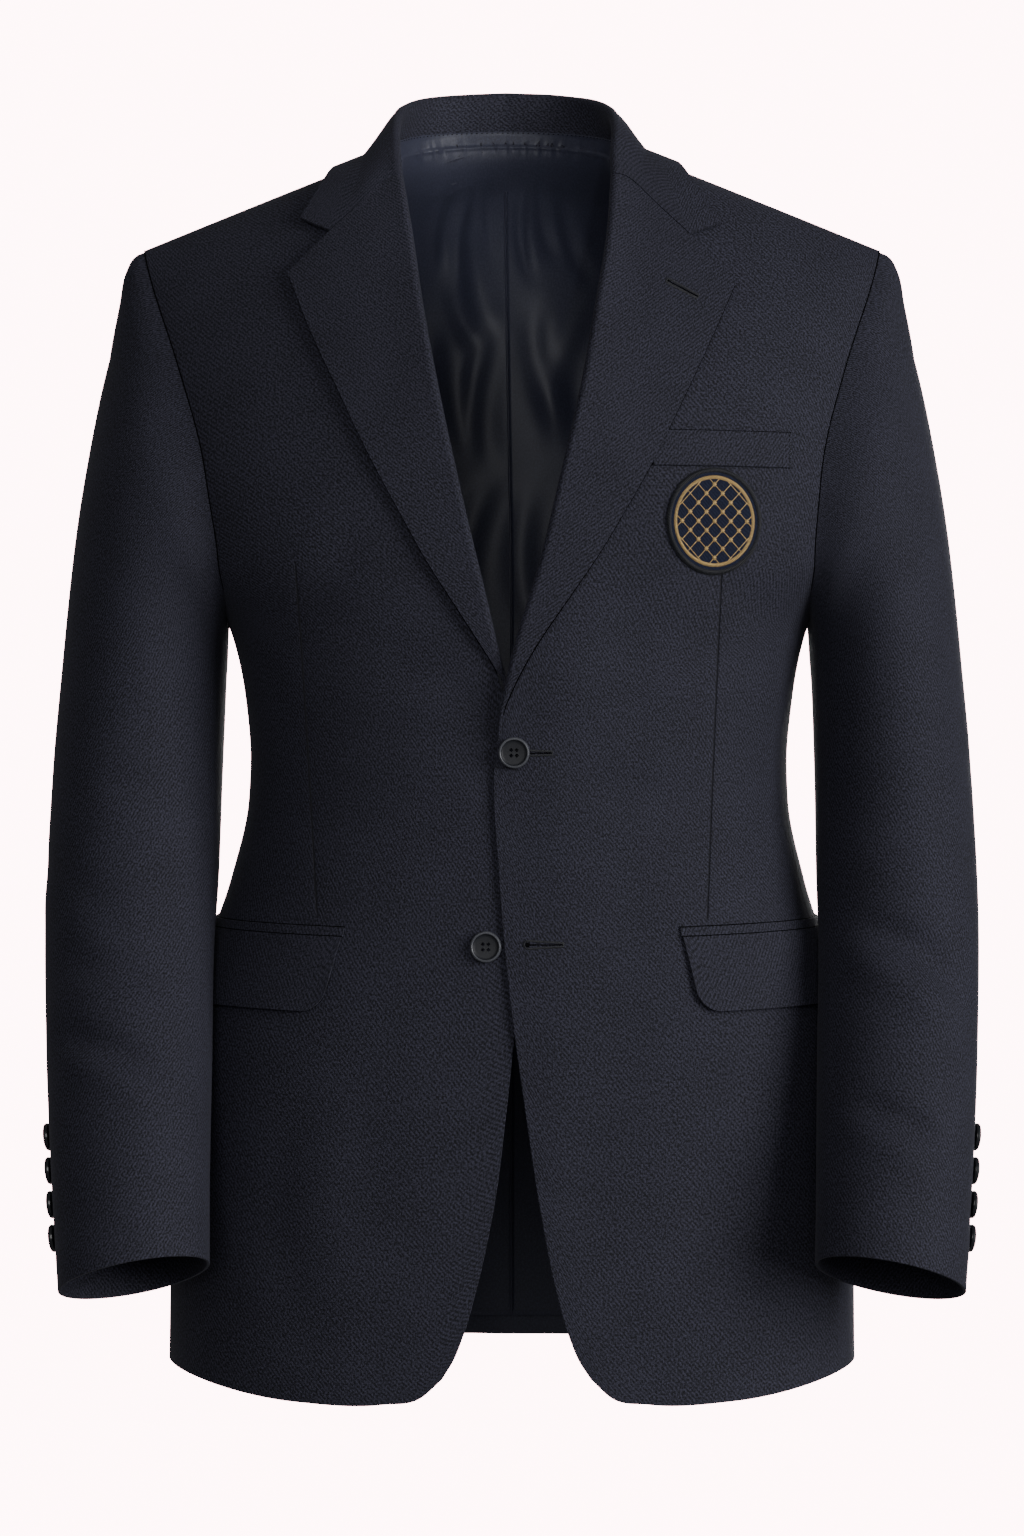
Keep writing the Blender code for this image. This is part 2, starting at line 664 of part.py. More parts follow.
def neck_arc(side, turn, half_width=NECK_HALF_WIDTH, depth=NECK_DEPTH, power=2.0):
    """Arc in plan round the back of the neck: turn 0 at the shoulder seam, 90 at the centre back."""
    turn = np.radians(np.asarray(turn, float))
    across = NECK_CENTRE + side * half_width * np.cos(turn).clip(0) ** (2 / power)
    deep = depth * np.sin(turn) ** (2 / power)
    return np.stack([across, deep, back_height(across, deep)], axis=-1)


def back_top(side, columns):
    """Neck seam from the centre back to the shoulder, then the shoulder seam, by column."""
    neck = neck_arc(side, np.linspace(90, 0, BACK_NECK_COLUMNS + 1))
    places = on_form(side, neck[:-1, 0], neck[:-1, 2], behind=True)
    shares = np.linspace(0, 1, columns - BACK_NECK_COLUMNS + 1)
    return np.concatenate([places, shoulder_seam(side, shares, True)])


def centre_back(side, height):
    """Across of the centre back seam, and of the under half of the vent."""
    shift = NECK_CENTRE * ease(height, CENTRE_SHIFT_FROM, 0.0)
    seam = shift + side * 0.5 * SEAM_GAP
    if side > 0:
        return seam
    return seam + VENT_LAP * (1 - ease(height, VENT_TOP - VENT_STEP, VENT_TOP))


def make_back(name, side):
    rows = SEAM_ROWS + BACK_ARM_ROWS
    columns = BACK_NECK_COLUMNS + BACK_SHOULDER_COLUMNS
    shares = np.linspace(0, 1, columns + 1)
    top = back_top(side, columns)
    low = hem_height(-1.0)
    height = np.concatenate([
        np.linspace(low, ARMHOLE_BOTTOM, SEAM_ROWS * FINE + 1),
        np.linspace(ARMHOLE_BOTTOM, top[0, 1], BACK_ARM_ROWS * FINE + 1)[1:],
    ])
    left = on_form(side, centre_back(side, height), height, behind=True)
    left[-1] = top[0]
    right = back_side_edge(row_steps(rows))
    right[: SEAM_ROWS * FINE + 1, 0] -= GIRTH_GAP
    girth = left[0, 0] + (right[0, 0] - left[0, 0]) * shares
    bottom = np.stack([girth, hem_height(girth)], axis=-1)
    places = body_panel(side, left, right, bottom, top, rows)
    wall(name, cloth_point(side, places), cloth_point(side, places, -WOOL_WALL))


# ---------------------------------------------------------------- sleeves

_sleeve = np.array(SLEEVE_FORM)
SLEEVE_AT = lengths_along(_sleeve[:, 2:4])
SLEEVE_TABLE = np.column_stack([SLEEVE_AT, _sleeve])
SEAM_FADE = 0.30  # share of the sleeve over which the armhole's own shape dies away
SLEEVE_FREE = (0.25, 0.45)  # shares between which the sleeve comes free of the body
BODY_CLEAR = 0.0085  # from the body's form to the sleeve, with the pocket flap between them
CLEAR_ROUNDING = 0.0012  # how softly a sleeve is pushed out to that distance
SLEEVE_SEAM_ANGLE = 0.2


def sleeve_ring(side, angle, at):
    """Point of the sleeve's tube at an angle (0 outside, 90 front) and a share of its length."""
    turn = np.radians(angle)
    inner_x, inner_z, outer_x, outer_z, middle_y, depth = (
        read_table(SLEEVE_TABLE, at, column) for column in range(1, 7)
    )
    middle_x, middle_z = (inner_x + outer_x) / 2, (inner_z + outer_z) / 2
    aside = (np.mod(angle + 180, 360) - 180) / SLEEVE_HEAD_REACH
    head = read_table(SLEEVE_HEAD, at, 1) * np.exp(-(aside**2))
    x = middle_x + (outer_x - inner_x) / 2 * np.cos(turn) + head
    z = middle_z + (outer_z - inner_z) / 2 * np.cos(turn)
    y = middle_y - depth * np.sin(turn)
    lean = read_table(BODY_FORM, z, 4) * (1 - np.cos(turn)) / 2
    z = z + CUFF_RISE * ease(at, CUFF_RISE_FROM, 1.0) * np.sin(turn)
    return np.stack([side * x + lean, y, z], axis=-1)


def beside_body(side, point, clear):
    """Sleeve points pushed outwards where they would come closer to the body than clear."""
    height, deep = point[..., 2], point[..., 1]
    column = np.where(deep > 0, read_table(BODY_FORM, height, 3), read_table(BODY_FORM, height, 2))
    share = np.clip(np.abs(deep) / column, 0, 1)
    wide = read_table(BODY_FORM, height, 1) * (1 - share**RING_POWER) ** (1 / RING_POWER)
    out = side * (point[..., 0] - read_table(BODY_FORM, height, 4))
    short = wide + clear - out
    push = 0.5 * (short + np.hypot(short, CLEAR_ROUNDING))
    moved = point.copy()
    moved[..., 0] += side * push
    return moved


def sleeve_point(side, angle, at, out=0.0):
    """Point of the sleeve's cloth: the tube, pulled to the armhole seam at its top."""
    angle = np.asarray(angle, float)
    at = np.asarray(at, float)
    place = armhole(np.mod(angle, 360))
    seam = cloth_point(side, place)
    near = np.clip(1 - at / SEAM_FADE, 0, 1) ** 2
    first = sleeve_ring(side, angle, np.zeros_like(at))
    pull = (seam - first + np.array([side * SEAM_GAP, 0, 0])) * near[..., None]
    point = sleeve_ring(side, angle, at) + pull
    round_it = sleeve_ring(side, angle + 1, at) - sleeve_ring(side, angle - 1, at)
    along = sleeve_ring(side, angle, np.clip(at + 0.01, 0, 1)) - sleeve_ring(
        side, angle, np.clip(at - 0.01, 0, 1))
    point = point + side * unit(np.cross(round_it, along)) * out
    free = ease(at, *SLEEVE_FREE)[..., None]
    return point + free * (beside_body(side, point, BODY_CLEAR - out) - point)


def sleeve_panel(start, end, cuff_start, cuff_end, columns):
    """Angles and lengths of one sleeve piece; its back seam turns on its way to the cuff."""
    at = np.array(SLEEVE_STEPS)[::-1, None]
    share = np.linspace(0, 1, columns + 1)[None, :]
    turned = ease(at, 0.15, 1.0)
    first = start + turned * (cuff_start - start) + SLEEVE_SEAM_ANGLE
    last = end + turned * (cuff_end - end) - SLEEVE_SEAM_ANGLE
    angle = first + (last - first) * share
    return angle, np.broadcast_to(at, angle.shape)


def make_sleeve(side, word):
    """Top sleeve from the back seam over the outside to the front seam, and the under sleeve."""
    top_columns = (360 - SLEEVE_BACK_SEAM + SLEEVE_FRONT_SEAM) // ARM_STEP
    under_columns = (SLEEVE_BACK_SEAM - SLEEVE_FRONT_SEAM) // ARM_STEP
    pieces = (
        ("top_sleeve", SLEEVE_BACK_SEAM - 360, SLEEVE_FRONT_SEAM, CUFF_BACK_SEAM - 360,
         SLEEVE_FRONT_SEAM, top_columns),
        ("under_sleeve", SLEEVE_FRONT_SEAM, SLEEVE_BACK_SEAM, SLEEVE_FRONT_SEAM,
         CUFF_BACK_SEAM, under_columns),
    )
    for kind, start, end, cuff_start, cuff_end, columns in pieces:
        angle, at = sleeve_panel(start, end, cuff_start, cuff_end, columns)
        outer = sleeve_point(side, angle, at)
        wall(f"{kind}_{word}", outer, sleeve_point(side, angle, at, -WOOL_WALL))


# ---------------------------------------------------------------- lapels and collar

CURL_STEPS, LEAF_STEPS = 24, 56


def over_front(side, seen, out):
    """Points over the front's cloth for places seen from the front."""
    return cloth_point(side, on_form(side, seen[..., 0], seen[..., 1]), out)


def half_turn(centre, towards, outward, radius):
    """Dense half circle: from below its centre, round the fold, to above it."""
    turn = np.radians(np.linspace(-90, 90, CURL_STEPS + 1))[:, None]
    return centre + radius * (np.cos(turn) * towards + np.sin(turn) * outward)


def turned_wall(name, sections, picks, side, ends):
    """Wall from dense sections, one a row; picks are the places of its columns in a section.

    ends gives the direction along the piece at rows that meet another piece.
    """
    points = np.array([section[picks] for section in sections])
    run = np.array([np.gradient(section, axis=0)[picks] for section in sections])
    along = np.gradient(points, axis=0)
    for row, direction in ends.items():
        along[row] = direction
    normal = unit(np.cross(run, along)) * side
    half = TURNED_WALL / 2
    return wall(name, points + half * normal, points - half * normal)


def roll_radius(share):
    """Radius of the roll: tight at the break and soft above it."""
    return BREAK_RADIUS + (ROLL_RADIUS - BREAK_RADIUS) * ease(share, 0.0, BREAK_REACH)


def leaf_height(share, distance):
    """Height of a leaf's middle over the front, settling away from the roll."""
    rest = BREAK_HEIGHT + (LEAF_HEIGHT - BREAK_HEIGHT) * ease(share, 0.0, BREAK_REACH)
    top = 2 * roll_radius(share) - WOOL_WALL / 2
    return rest + (top - rest) * np.exp(-distance / LEAF_SPRING_REACH)


def roll_frame(side, share):
    """Fold point on the front, direction towards the centre, and outward direction."""
    near = np.clip(np.array([share - 0.01, share + 0.01]), 0, 1)
    seen = curve(roll_line(side), np.concatenate([[share], near]))
    point, low, high = over_front(side, seen, 0.0)
    place = on_form(side, seen[0, 0], seen[0, 1])
    outward = body_normal(side, place[0], place[1])
    towards = unit(np.cross(unit(high - low), outward)) * -side
    return point, towards, outward


def roll_section(side, share, leaf_seen):
    """Dense section of a leaf that turns out at the roll and then follows the front."""
    point, towards, outward = roll_frame(side, share)
    radius = roll_radius(share)
    centre = point - towards * (radius + TURNED_WALL / 2) + outward * (radius - WOOL_WALL / 2)
    curl = half_turn(centre, towards, outward, radius)
    first = curl[-1][[0, 2]]
    leaf_seen = leaf_seen + (first - leaf_seen[0]) * np.linspace(1, 0, len(leaf_seen))[:, None] ** 2
    distance = np.linalg.norm(leaf_seen - first, axis=1)
    leaf = over_front(side, leaf_seen, leaf_height(share, distance))
    leaf = leaf + (curl[-1] - leaf[0]) * np.exp(-distance / CURL_BLEND)[:, None]
    return np.concatenate([curl, leaf[1:]])


GORGE_SHIFT = 0.0002  # half the gap at the gorge seam, along the roll


def roll_along(side, share):
    """Upward direction of the roll line at a share of its length."""
    low, high = over_front(side, curve(roll_line(side), np.array([share - 0.02, share])), 0.0)
    return unit(high - low)


def gorge_seen(side):
    """Gorge seam from the roll to the notch, seen from the front."""
    return curve(GORGE_LEFT if side > 0 else GORGE_RIGHT, np.linspace(0, 1, 5 * 8 + 1))


def lapel_top_seen(side):
    """Gorge seam, then the lapel's own top edge out to its point."""
    point = (LAPEL_EDGE_LEFT if side > 0 else LAPEL_EDGE_RIGHT)[-1]
    gorge = gorge_seen(side)
    step = np.linspace(0, 1, 2 * 8 + 1)[1:, None]
    top = gorge[-1] + (np.array(point) - gorge[-1]) * step
    return np.concatenate([gorge, top])


LAPEL_ROWS = 13


def make_lapel(name, side):
    """Lapel from the front's cut edge round the roll to its outer edge."""
    shares = np.linspace(0, 1, LAPEL_ROWS + 1)
    edge = curve(LAPEL_EDGE_LEFT if side > 0 else LAPEL_EDGE_RIGHT, shares)
    roll = curve(roll_line(side), shares)
    top = lapel_top_seen(side)
    across = lengths_along(top)[:, None]
    bottom = roll[0] + (edge[0] - roll[0]) * across
    leaf = coons(roll, edge, bottom, top)
    sections = [roll_section(side, share, seen) for share, seen in zip(shares, leaf)]
    sections[-1] = sections[-1] - roll_along(side, 1.0) * GORGE_SHIFT
    picks = np.concatenate([
        np.arange(0, CURL_STEPS + 1, 6),
        np.arange(CURL_STEPS + 8, CURL_STEPS + LEAF_STEPS + 1, 8),
    ])
    turned_wall(name, sections, picks, side, {0: roll_along(side, 0.02), -1: roll_along(side, 1.0)})


def form_height(across, deep):
    """Height of the body's form over a place in plan, with y = deep."""
    behind = deep > 0
    height = np.zeros_like(across)
    for _ in range(6):
        half_width = read_table(BODY_FORM, height, 1)
        depth = np.where(behind, read_table(BODY_FORM, height, 3), read_table(BODY_FORM, height, 2))
        ring_depth = depth * (1 - (np.abs(across) / half_width) ** RING_POWER) ** (1 / RING_POWER)
        share = np.clip(np.abs(deep) / ring_depth, 0, 0.97)
        tall = np.where(behind, BACK_DOME[0], FRONT_DOME[0])
        power = np.where(behind, BACK_DOME[1], FRONT_DOME[1])
        height = ridge_height(across) - tall * (1 - (1 - share**power) ** (1 / power))
    return height


def held_clear(points, clear):
    """The same points, raised where they come closer to the body than the given distance."""
    across, deep = points[..., 0], points[..., 1]
    step = 0.001
    base = form_height(across, deep)
    slope_x = (form_height(across + step, deep) - form_height(across - step, deep)) / (2 * step)
    slope_y = (form_height(across, deep + step) - form_height(across, deep - step)) / (2 * step)
    upright = clear * np.sqrt(1 + slope_x**2 + slope_y**2)
    raised = points.copy()
    raised[..., 2] = np.maximum(points[..., 2], base + upright)
    return raised


COLLAR_FRONT_ROWS = 4  # from the end of the roll to the shoulder seam


def collar_seam(side):
    """Neck seam under the stand, one point a row, on the panels' own edges."""
    edge = cloth_point(side, front_places(side)[:, 0])
    start = np.interp(inset_roll(side)[-1][1], edge[:, 2], lengths_along(edge))
    front = share_points(edge, np.linspace(start, 1, COLLAR_FRONT_ROWS + 1))
    back = cloth_point(side, back_top(side, BACK_NECK_COLUMNS + BACK_SHOULDER_COLUMNS))
    neck = back[BACK_NECK_COLUMNS::-1]
    return np.concatenate([front[:-1], [(front[-1] + neck[0]) / 2], neck[1:]])


STAND_CLEAR = 0.0004  # the stand's edge over the panels' outer face


def collar_fold(side, shares):
    """Fold of the collar, from the end of the roll round to the centre back."""
    end = roll_frame(side, 1.0)[0]
    fold = np.array(COLLAR_FOLD)[::-1] * np.array([side, 1, 1]) + np.array([NECK_CENTRE, 0, 0])
    return curve(np.concatenate([[end], fold]), shares)


def collar_edge(side, shares):
    """Outer edge of the leaf, from the collar's point over the shoulder to the centre back."""
    point = np.array(COLLAR_POINT_LEFT if side > 0 else COLLAR_POINT_RIGHT)
    arc = neck_arc(side, np.linspace(0, 90, 8), COLLAR_EDGE_HALF_WIDTH, COLLAR_EDGE_DEPTH,
                   COLLAR_EDGE_POWER)
    shoulder = arc[0, [0, 2]] - np.array([0, COLLAR_SHOULDER_DROP])
    middle = (point + shoulder) / 2 + np.array([side * 0.0008, 0.0004])
    front = over_front(side, np.array([point, middle]), LEAF_HEIGHT)
    back = held_clear(arc, LEAF_HEIGHT)
    return curve(np.concatenate([front, back]), shares)


def half_collar(side):
    """Dense sections of one half of the collar, from the gorge seam to the centre back."""
    seam = collar_seam(side)
    shares = lengths_along(seam)
    fold, edge = collar_fold(side, shares), collar_edge(side, shares)
    along = unit(np.gradient(fold, axis=0))
    towards = fold - seam
    towards = unit(towards - along * np.sum(towards * along, axis=1, keepdims=True))
    end_towards = roll_frame(side, 1.0)[1]
    blend = ease(shares, 0.0, COLLAR_BLEND)[:, None]
    towards = unit(towards * blend + end_towards * (1 - blend))
    outward = unit(np.cross(along, towards)) * side
    curls, starts = [], []
    for row in range(len(shares)):
        centre = fold[row] - towards[row] * (ROLL_RADIUS + TURNED_WALL / 2 * (1 - blend[row]))
        centre = centre + outward[row] * (ROLL_RADIUS - WOOL_WALL / 2) * (1 - 0.6 * blend[row])
        curl = half_turn(centre, towards[row], outward[row], ROLL_RADIUS)
        start = seam[row] + unit(curl[0] - seam[row]) * STAND_CLEAR
        stand = start + (curl[0] - start) * np.linspace(0, 1, 17)[:-1, None]
        dense = np.concatenate([stand, curl])
        curls.append(share_points(dense, np.linspace(0, 1, CURL_STEPS + 1)))
        starts.append(curl[-1])
    gorge = gorge_seen(side)
    point = np.array(COLLAR_POINT_LEFT if side > 0 else COLLAR_POINT_RIGHT)
    end = gorge[-1] + (point - gorge[-1]) * np.linspace(0, 1, 2 * 8 + 1)[1:, None]
    end_section = roll_section(side, 1.0, np.concatenate([gorge, end]))
    curls[0] = end_section[: CURL_STEPS + 1]
    starts[0] = end_section[CURL_STEPS]
    bottom = end_section[CURL_STEPS:]
    across = lengths_along(bottom)[:, None]
    top = starts[-1] + (edge[-1] - starts[-1]) * across
    top = top + COLLAR_BULGE * np.sin(math.pi * across) * outward[-1]
    leaf = coons(np.array(starts), edge, bottom, top)
    leaf[1:] = held_clear(leaf[1:], LEAF_HEIGHT)
    sections = [np.concatenate([curl, row[1:]]) for curl, row in zip(curls, leaf)]
    sections[0] = sections[0] + roll_along(side, 1.0) * GORGE_SHIFT
    return sections


def make_collar():
    """Stand and leaf in one, from the wearer's left gorge round to the right one."""
    left = half_collar(1)
    right = half_collar(-1)
    sections = left[:-1] + [(left[-1] + right[-1]) / 2] + right[-2::-1]
    picks = np.concatenate([
        np.arange(0, CURL_STEPS + 1, 4),
        np.arange(CURL_STEPS + 8, CURL_STEPS + LEAF_STEPS + 1, 8),
    ])
    turned_wall("collar", sections, picks, 1, {0: roll_along(1, 1.0), -1: -roll_along(-1, 1.0)})


# ---------------------------------------------------------------- pieces that lie on the panels


def lying_wall(name, side, place, thick, look="wool", gap=LYING_GAP):
    """Wall on top of a panel, over a grid of places on the form."""
    thick = np.asarray(thick, float)
    return wall(name, cloth_point(side, place, gap + thick), cloth_point(side, place, gap), look)


def quarter_length(height):
    """Real length of the form from under the arm to the centre front."""
    girth = np.linspace(0, 1, 200)
    points = body_point(1, girth, np.full(200, height))
    return np.sum(np.linalg.norm(np.diff(points, axis=0), axis=1))


def rounded_drop(distance, corner):
    """How much shorter a flap is near its end, for a rounded corner."""
    short = np.clip(corner - distance, 0, corner)
    return corner - np.sqrt(corner**2 - short**2)


def make_hip_pocket(word, side):
    """Flap with a rounded front corner, and the narrow jet above it."""
    quarter = quarter_length(FLAP_TOP)
    start = float(on_form(side, side * FLAP_START, FLAP_TOP)[0])
    corner = FLAP_CORNER * np.array([0, 0.08, 0.3, 0.62, 1.0])
    along = np.concatenate([corner, np.linspace(FLAP_CORNER, FLAP_LENGTH, 11)[1:]])
    top = FLAP_TOP + FLAP_RISE * (along / FLAP_LENGTH)
    down = np.linspace(1, 0, 5)[:, None]
    tall = FLAP_HEIGHT - rounded_drop(along, FLAP_CORNER)
    slant = FLAP_SLANT * (1 - along / FLAP_LENGTH) * down * tall / FLAP_HEIGHT
    girth = start - (along + slant) / quarter
    place = np.stack([girth, top - down * tall], axis=-1)
    lift = LYING_GAP + FLAP_SPRING * down**2
    outer = cloth_point(side, place, lift + WOOL_WALL)
    inner = cloth_point(side, place, lift)
    wall(f"pocket_flap_{word}", outer, inner)
    along = np.linspace(-JET_OVERHANG, FLAP_LENGTH + JET_OVERHANG, 13)
    top = FLAP_TOP + FLAP_RISE * (along / FLAP_LENGTH) + SEAM_GAP
    up = np.array([0.0, 1.0])[:, None] * JET_HEIGHT
    girth = np.broadcast_to(start - along / quarter, (2, len(along)))
    lying_wall(f"pocket_jet_{word}", side, np.stack([girth, top + up], axis=-1), TRIM_WALL)


def make_breast_welt():
    across = np.linspace(WELT_START, WELT_END, 7)
    height = WELT_TOP - WELT_HEIGHT * np.linspace(1, 0, 3)[:, None]
    seen = np.stack(np.broadcast_arrays(across, height), axis=-1)
    place = on_form(1, seen[..., 0], seen[..., 1])
    lying_wall("breast_welt", 1, place, TRIM_WALL)


def make_patch():
    """Oval sewn-on patch with a raised rim."""
    u = np.sin(np.linspace(-math.pi / 2, math.pi / 2, 9)) * 0.5 + np.linspace(-1, 1, 9) * 0.5
    v = u[:, None]
    disc_x = u * np.sqrt(1 - v**2 / 2)
    disc_z = v * np.sqrt(1 - u**2 / 2)
    radius = np.hypot(disc_x, disc_z)
    place = on_form(
        1, PATCH_CENTRE[0] + PATCH_HALF[0] * disc_x, PATCH_CENTRE[1] + PATCH_HALF[1] * disc_z)
    thick = PATCH_THICK + PATCH_RIM * (radius > PATCH_RIM_START)
    lying_wall("chest_patch", 1, place, thick, "felt")


# ---------------------------------------------------------------- lining

LINING_OUT = -(WOOL_WALL + 0.0036)
LINING_VENT_SINK = 0.0032  # it passes inside both halves of the vent
LINING_VENT_REACH = (0.030, 0.070)  # across, from the middle of the lap
LINING_VENT_TOP = (VENT_TOP + 0.03, VENT_TOP + 0.12)
LINING_DROP = 0.004  # its corner at the shoulder tip lies that much lower
LINING_INSET = 0.020  # girth by which it keeps away from the sleeve
LINING_ROWS = 16
BAND_HEIGHT = 0.0100
BAND_TOP = 0.0008  # below the neck seam
BAND_START = 6  # degrees round the neck from the shoulder seam
BAND_OUT = LINING_OUT - 0.0008


def lining_place(side, top_drop):
    """Places of the back lining: the back's own shape, with its top and hem drawn in."""
    rows, columns = LINING_ROWS, BACK_NECK_COLUMNS + BACK_SHOULDER_COLUMNS
    top = back_top(side, columns)
    top[:, 1] -= top_drop
    top[-1] -= np.array([LINING_INSET, LINING_DROP])
    height = np.linspace(LINING_HEM, top[0, 1], rows * FINE + 1)
    centre = NECK_CENTRE * ease(height, CENTRE_SHIFT_FROM, 0.0) + side * 2 * SEAM_GAP
    left = on_form(side, centre, height, behind=True)
    left[-1] = top[0]
    right = back_side_edge(np.linspace(0, SEAM_ROWS + BACK_ARM_ROWS, rows * FINE + 1))
    right[:, 0] -= LINING_INSET
    right[:, 1] = np.clip(right[:, 1], LINING_HEM, top[-1, 1])
    right[-1] = top[-1]
    right[0, 1] = LINING_HEM
    shares = np.linspace(0, 1, columns + 1)
    girth = left[0, 0] + (right[0, 0] - left[0, 0]) * shares
    bottom = np.stack([girth, np.full_like(girth, LINING_HEM)], axis=-1)
    return body_panel(side, left, right, bottom, top, rows)


def lining_point(side, place, out):
    """Point of the lining, which is drawn in where the vent's two halves lie over each other."""
    across = body_point(side, place[..., 0], place[..., 1])[..., 0]
    near = 1 - ease(np.abs(across - VENT_LAP / 2), *LINING_VENT_REACH)
    sink = LINING_VENT_SINK * near * (1 - ease(place[..., 1], *LINING_VENT_TOP))
    return cloth_point(side, place, LINING_OUT - sink + out + vent_sink(side, across, place[..., 1]))


def make_lining(name, side):
    place = lining_place(side, BAND_HEIGHT + 4 * SEAM_GAP)
    wall(name, lining_point(side, place, 0.0), lining_point(side, place, -LINING_WALL), "lining")


def make_neck_band():
    """Narrow strip of lining just under the collar's seam, inside the back."""
    points = {}
    for level, out in (("outer", BAND_OUT), ("inner", BAND_OUT - LINING_WALL)):
        halves = []
        for side in (-1, 1):
            arc = neck_arc(side, np.linspace(0, 90, BACK_NECK_COLUMNS + 1))
            arc[0] = neck_arc(side, BAND_START)
            rows = []
            for drop in (BAND_HEIGHT, BAND_HEIGHT / 2, BAND_TOP):
                place = on_form(side, arc[:, 0], arc[:, 2] - drop, behind=True)
                rows.append(cloth_point(side, place, out))
            halves.append(np.array(rows))
        middle = (halves[0][:, -1:] + halves[1][:, -1:]) / 2
        points[level] = np.concatenate([halves[0][:, :-1], middle, halves[1][:, -2::-1]], axis=1)
    wall("neck_band", points["outer"], points["inner"], "lining")


# ---------------------------------------------------------------- buttons


BUTTON_PROFILE = (  # share of the radius, height as a share of the radius
    (0.00, 0.00),
    (0.82, 0.00),
    (1.00, 0.20),
    (0.90, 0.42),
    (0.66, 0.27),
    (0.00, 0.24),
)
HOLE_RADIUS, HOLE_PLACE = 0.11, 0.27  # as shares of the button's radius
RIM_TEST = 0.007  # places round a front button at which the cloth under it is felt


def button_mesh(name, radius, sides):
    """Turned button with a raised rim, a hollow middle and four holes, facing +Z."""
    bm = bmesh.new()
    line = [bm.verts.new((across * radius, 0, up * radius)) for across, up in BUTTON_PROFILE]
    edges = [bm.edges.new(pair) for pair in zip(line, line[1:])]
    bmesh.ops.spin(bm, geom=line + edges, axis=(0, 0, 1), cent=(0, 0, 0),
                   angle=2 * math.pi, steps=sides, use_merge=True)
    bmesh.ops.remove_doubles(bm, verts=bm.verts, dist=1e-6)
    bmesh.ops.recalc_face_normals(bm, faces=bm.faces)
    solid = bpy.data.meshes.new(name + "_solid")
    bm.to_mesh(solid)
    bm.free()
    body = bpy.data.objects.new(name + "_solid", solid)
    bm = bmesh.new()
    for quarter in range(4):
        turn = math.radians(45 + 90 * quarter)
        made = bmesh.ops.create_cone(bm, cap_ends=True, segments=4, radius1=radius * HOLE_RADIUS,
                                     radius2=radius * HOLE_RADIUS, depth=radius * 1.2)
        aside, up = math.cos(turn) * radius * HOLE_PLACE, math.sin(turn) * radius * HOLE_PLACE
        offset = (aside, up, radius * 0.2)
        bmesh.ops.translate(bm, verts=made["verts"], vec=offset)
    drill_mesh = bpy.data.meshes.new(name + "_drill")
    bm.to_mesh(drill_mesh)
    bm.free()
    drill = bpy.data.objects.new(name + "_drill", drill_mesh)
    for item in (body, drill):
        bpy.context.collection.objects.link(item)
    cut = body.modifiers.new("holes", "BOOLEAN")
    cut.object = drill
    evaluated = body.evaluated_get(bpy.context.evaluated_depsgraph_get())
    mesh = bpy.data.meshes.new_from_object(evaluated)
    mesh.name = name
    for item in (body, drill):
        bpy.data.objects.remove(item)
    return mesh


def place_button(name, mesh, point, outward, up):
    """Button lying on cloth, its face along the outward direction."""
    side_way = unit(np.cross(up, outward))
    upright = np.cross(outward, side_way)
    made = finish(name, mesh, "horn")
    turned = Matrix(np.column_stack([side_way, upright, outward]).tolist())
    made.matrix_world = Matrix.LocRotScale(point + outward * SEAM_GAP, turned, None)


def make_buttons():
    front_mesh = button_mesh("front_button", FRONT_BUTTON_RADIUS, 18)
    cuff_mesh = button_mesh("cuff_button", CUFF_BUTTON_RADIUS, 12)
    for name, side, across, height in FRONT_BUTTONS:
        seen = np.array([across, height])
        place = on_form(side, seen[0], seen[1])
        outward = body_normal(side, place[0], place[1])
        steps = (-RIM_TEST, 0, RIM_TEST)
        rim = np.array([[across + dx, height + dz] for dx in steps for dz in steps])
        around = over_front(side, rim, 0.0)
        point = over_front(side, seen, 0.0)
        proud = np.max((around - point) @ outward)
        place_button(name, front_mesh, point + outward * max(proud, 0), outward, np.array([0, 0, 1.0]))
    length = np.linalg.norm(np.diff(_sleeve[:, 2:4], axis=0), axis=1).sum()
    for side, word in ((1, "left"), (-1, "right")):
        for k in range(4):
            at = 1 - (CUFF_BUTTON_LAST + (3 - k) * CUFF_BUTTON_PITCH) / length
            spots = np.array([at, at - 0.01, at + 0.01])
            point, above, below = sleeve_point(side, np.full(3, CUFF_BUTTON_ANGLE), spots)
            raised = sleeve_point(side, CUFF_BUTTON_ANGLE, at, 0.001)
            outward = unit(raised - point)
            place_button(f"cuff_button_{word}_{k + 1}", cuff_mesh, point, outward, unit(above - below))


# ---------------------------------------------------------------- build

for look, colour, roughness, coat in (
    ("wool", CLOTH, 0.85, 0.0),
    ("lining", LINING, 0.40, 0.0),
    ("felt", FELT, 0.95, 0.0),
    ("horn", HORN, 0.25, 0.3),
):
    material(look, colour, roughness, coat)

for _side, _word in ((1, "left"), (-1, "right")):
    make_front(f"front_{_word}", _side)
    make_side(f"side_{_word}", _side)
    make_back(f"back_{_word}", _side)
    make_sleeve(_side, _word)
    make_lapel(f"lapel_{_word}", _side)
make_collar()
for _side, _word in ((1, "left"), (-1, "right")):
    make_hip_pocket(_word, _side)
    make_lining(f"lining_{_word}", _side)
make_breast_welt()
make_patch()
make_neck_band()
make_buttons()
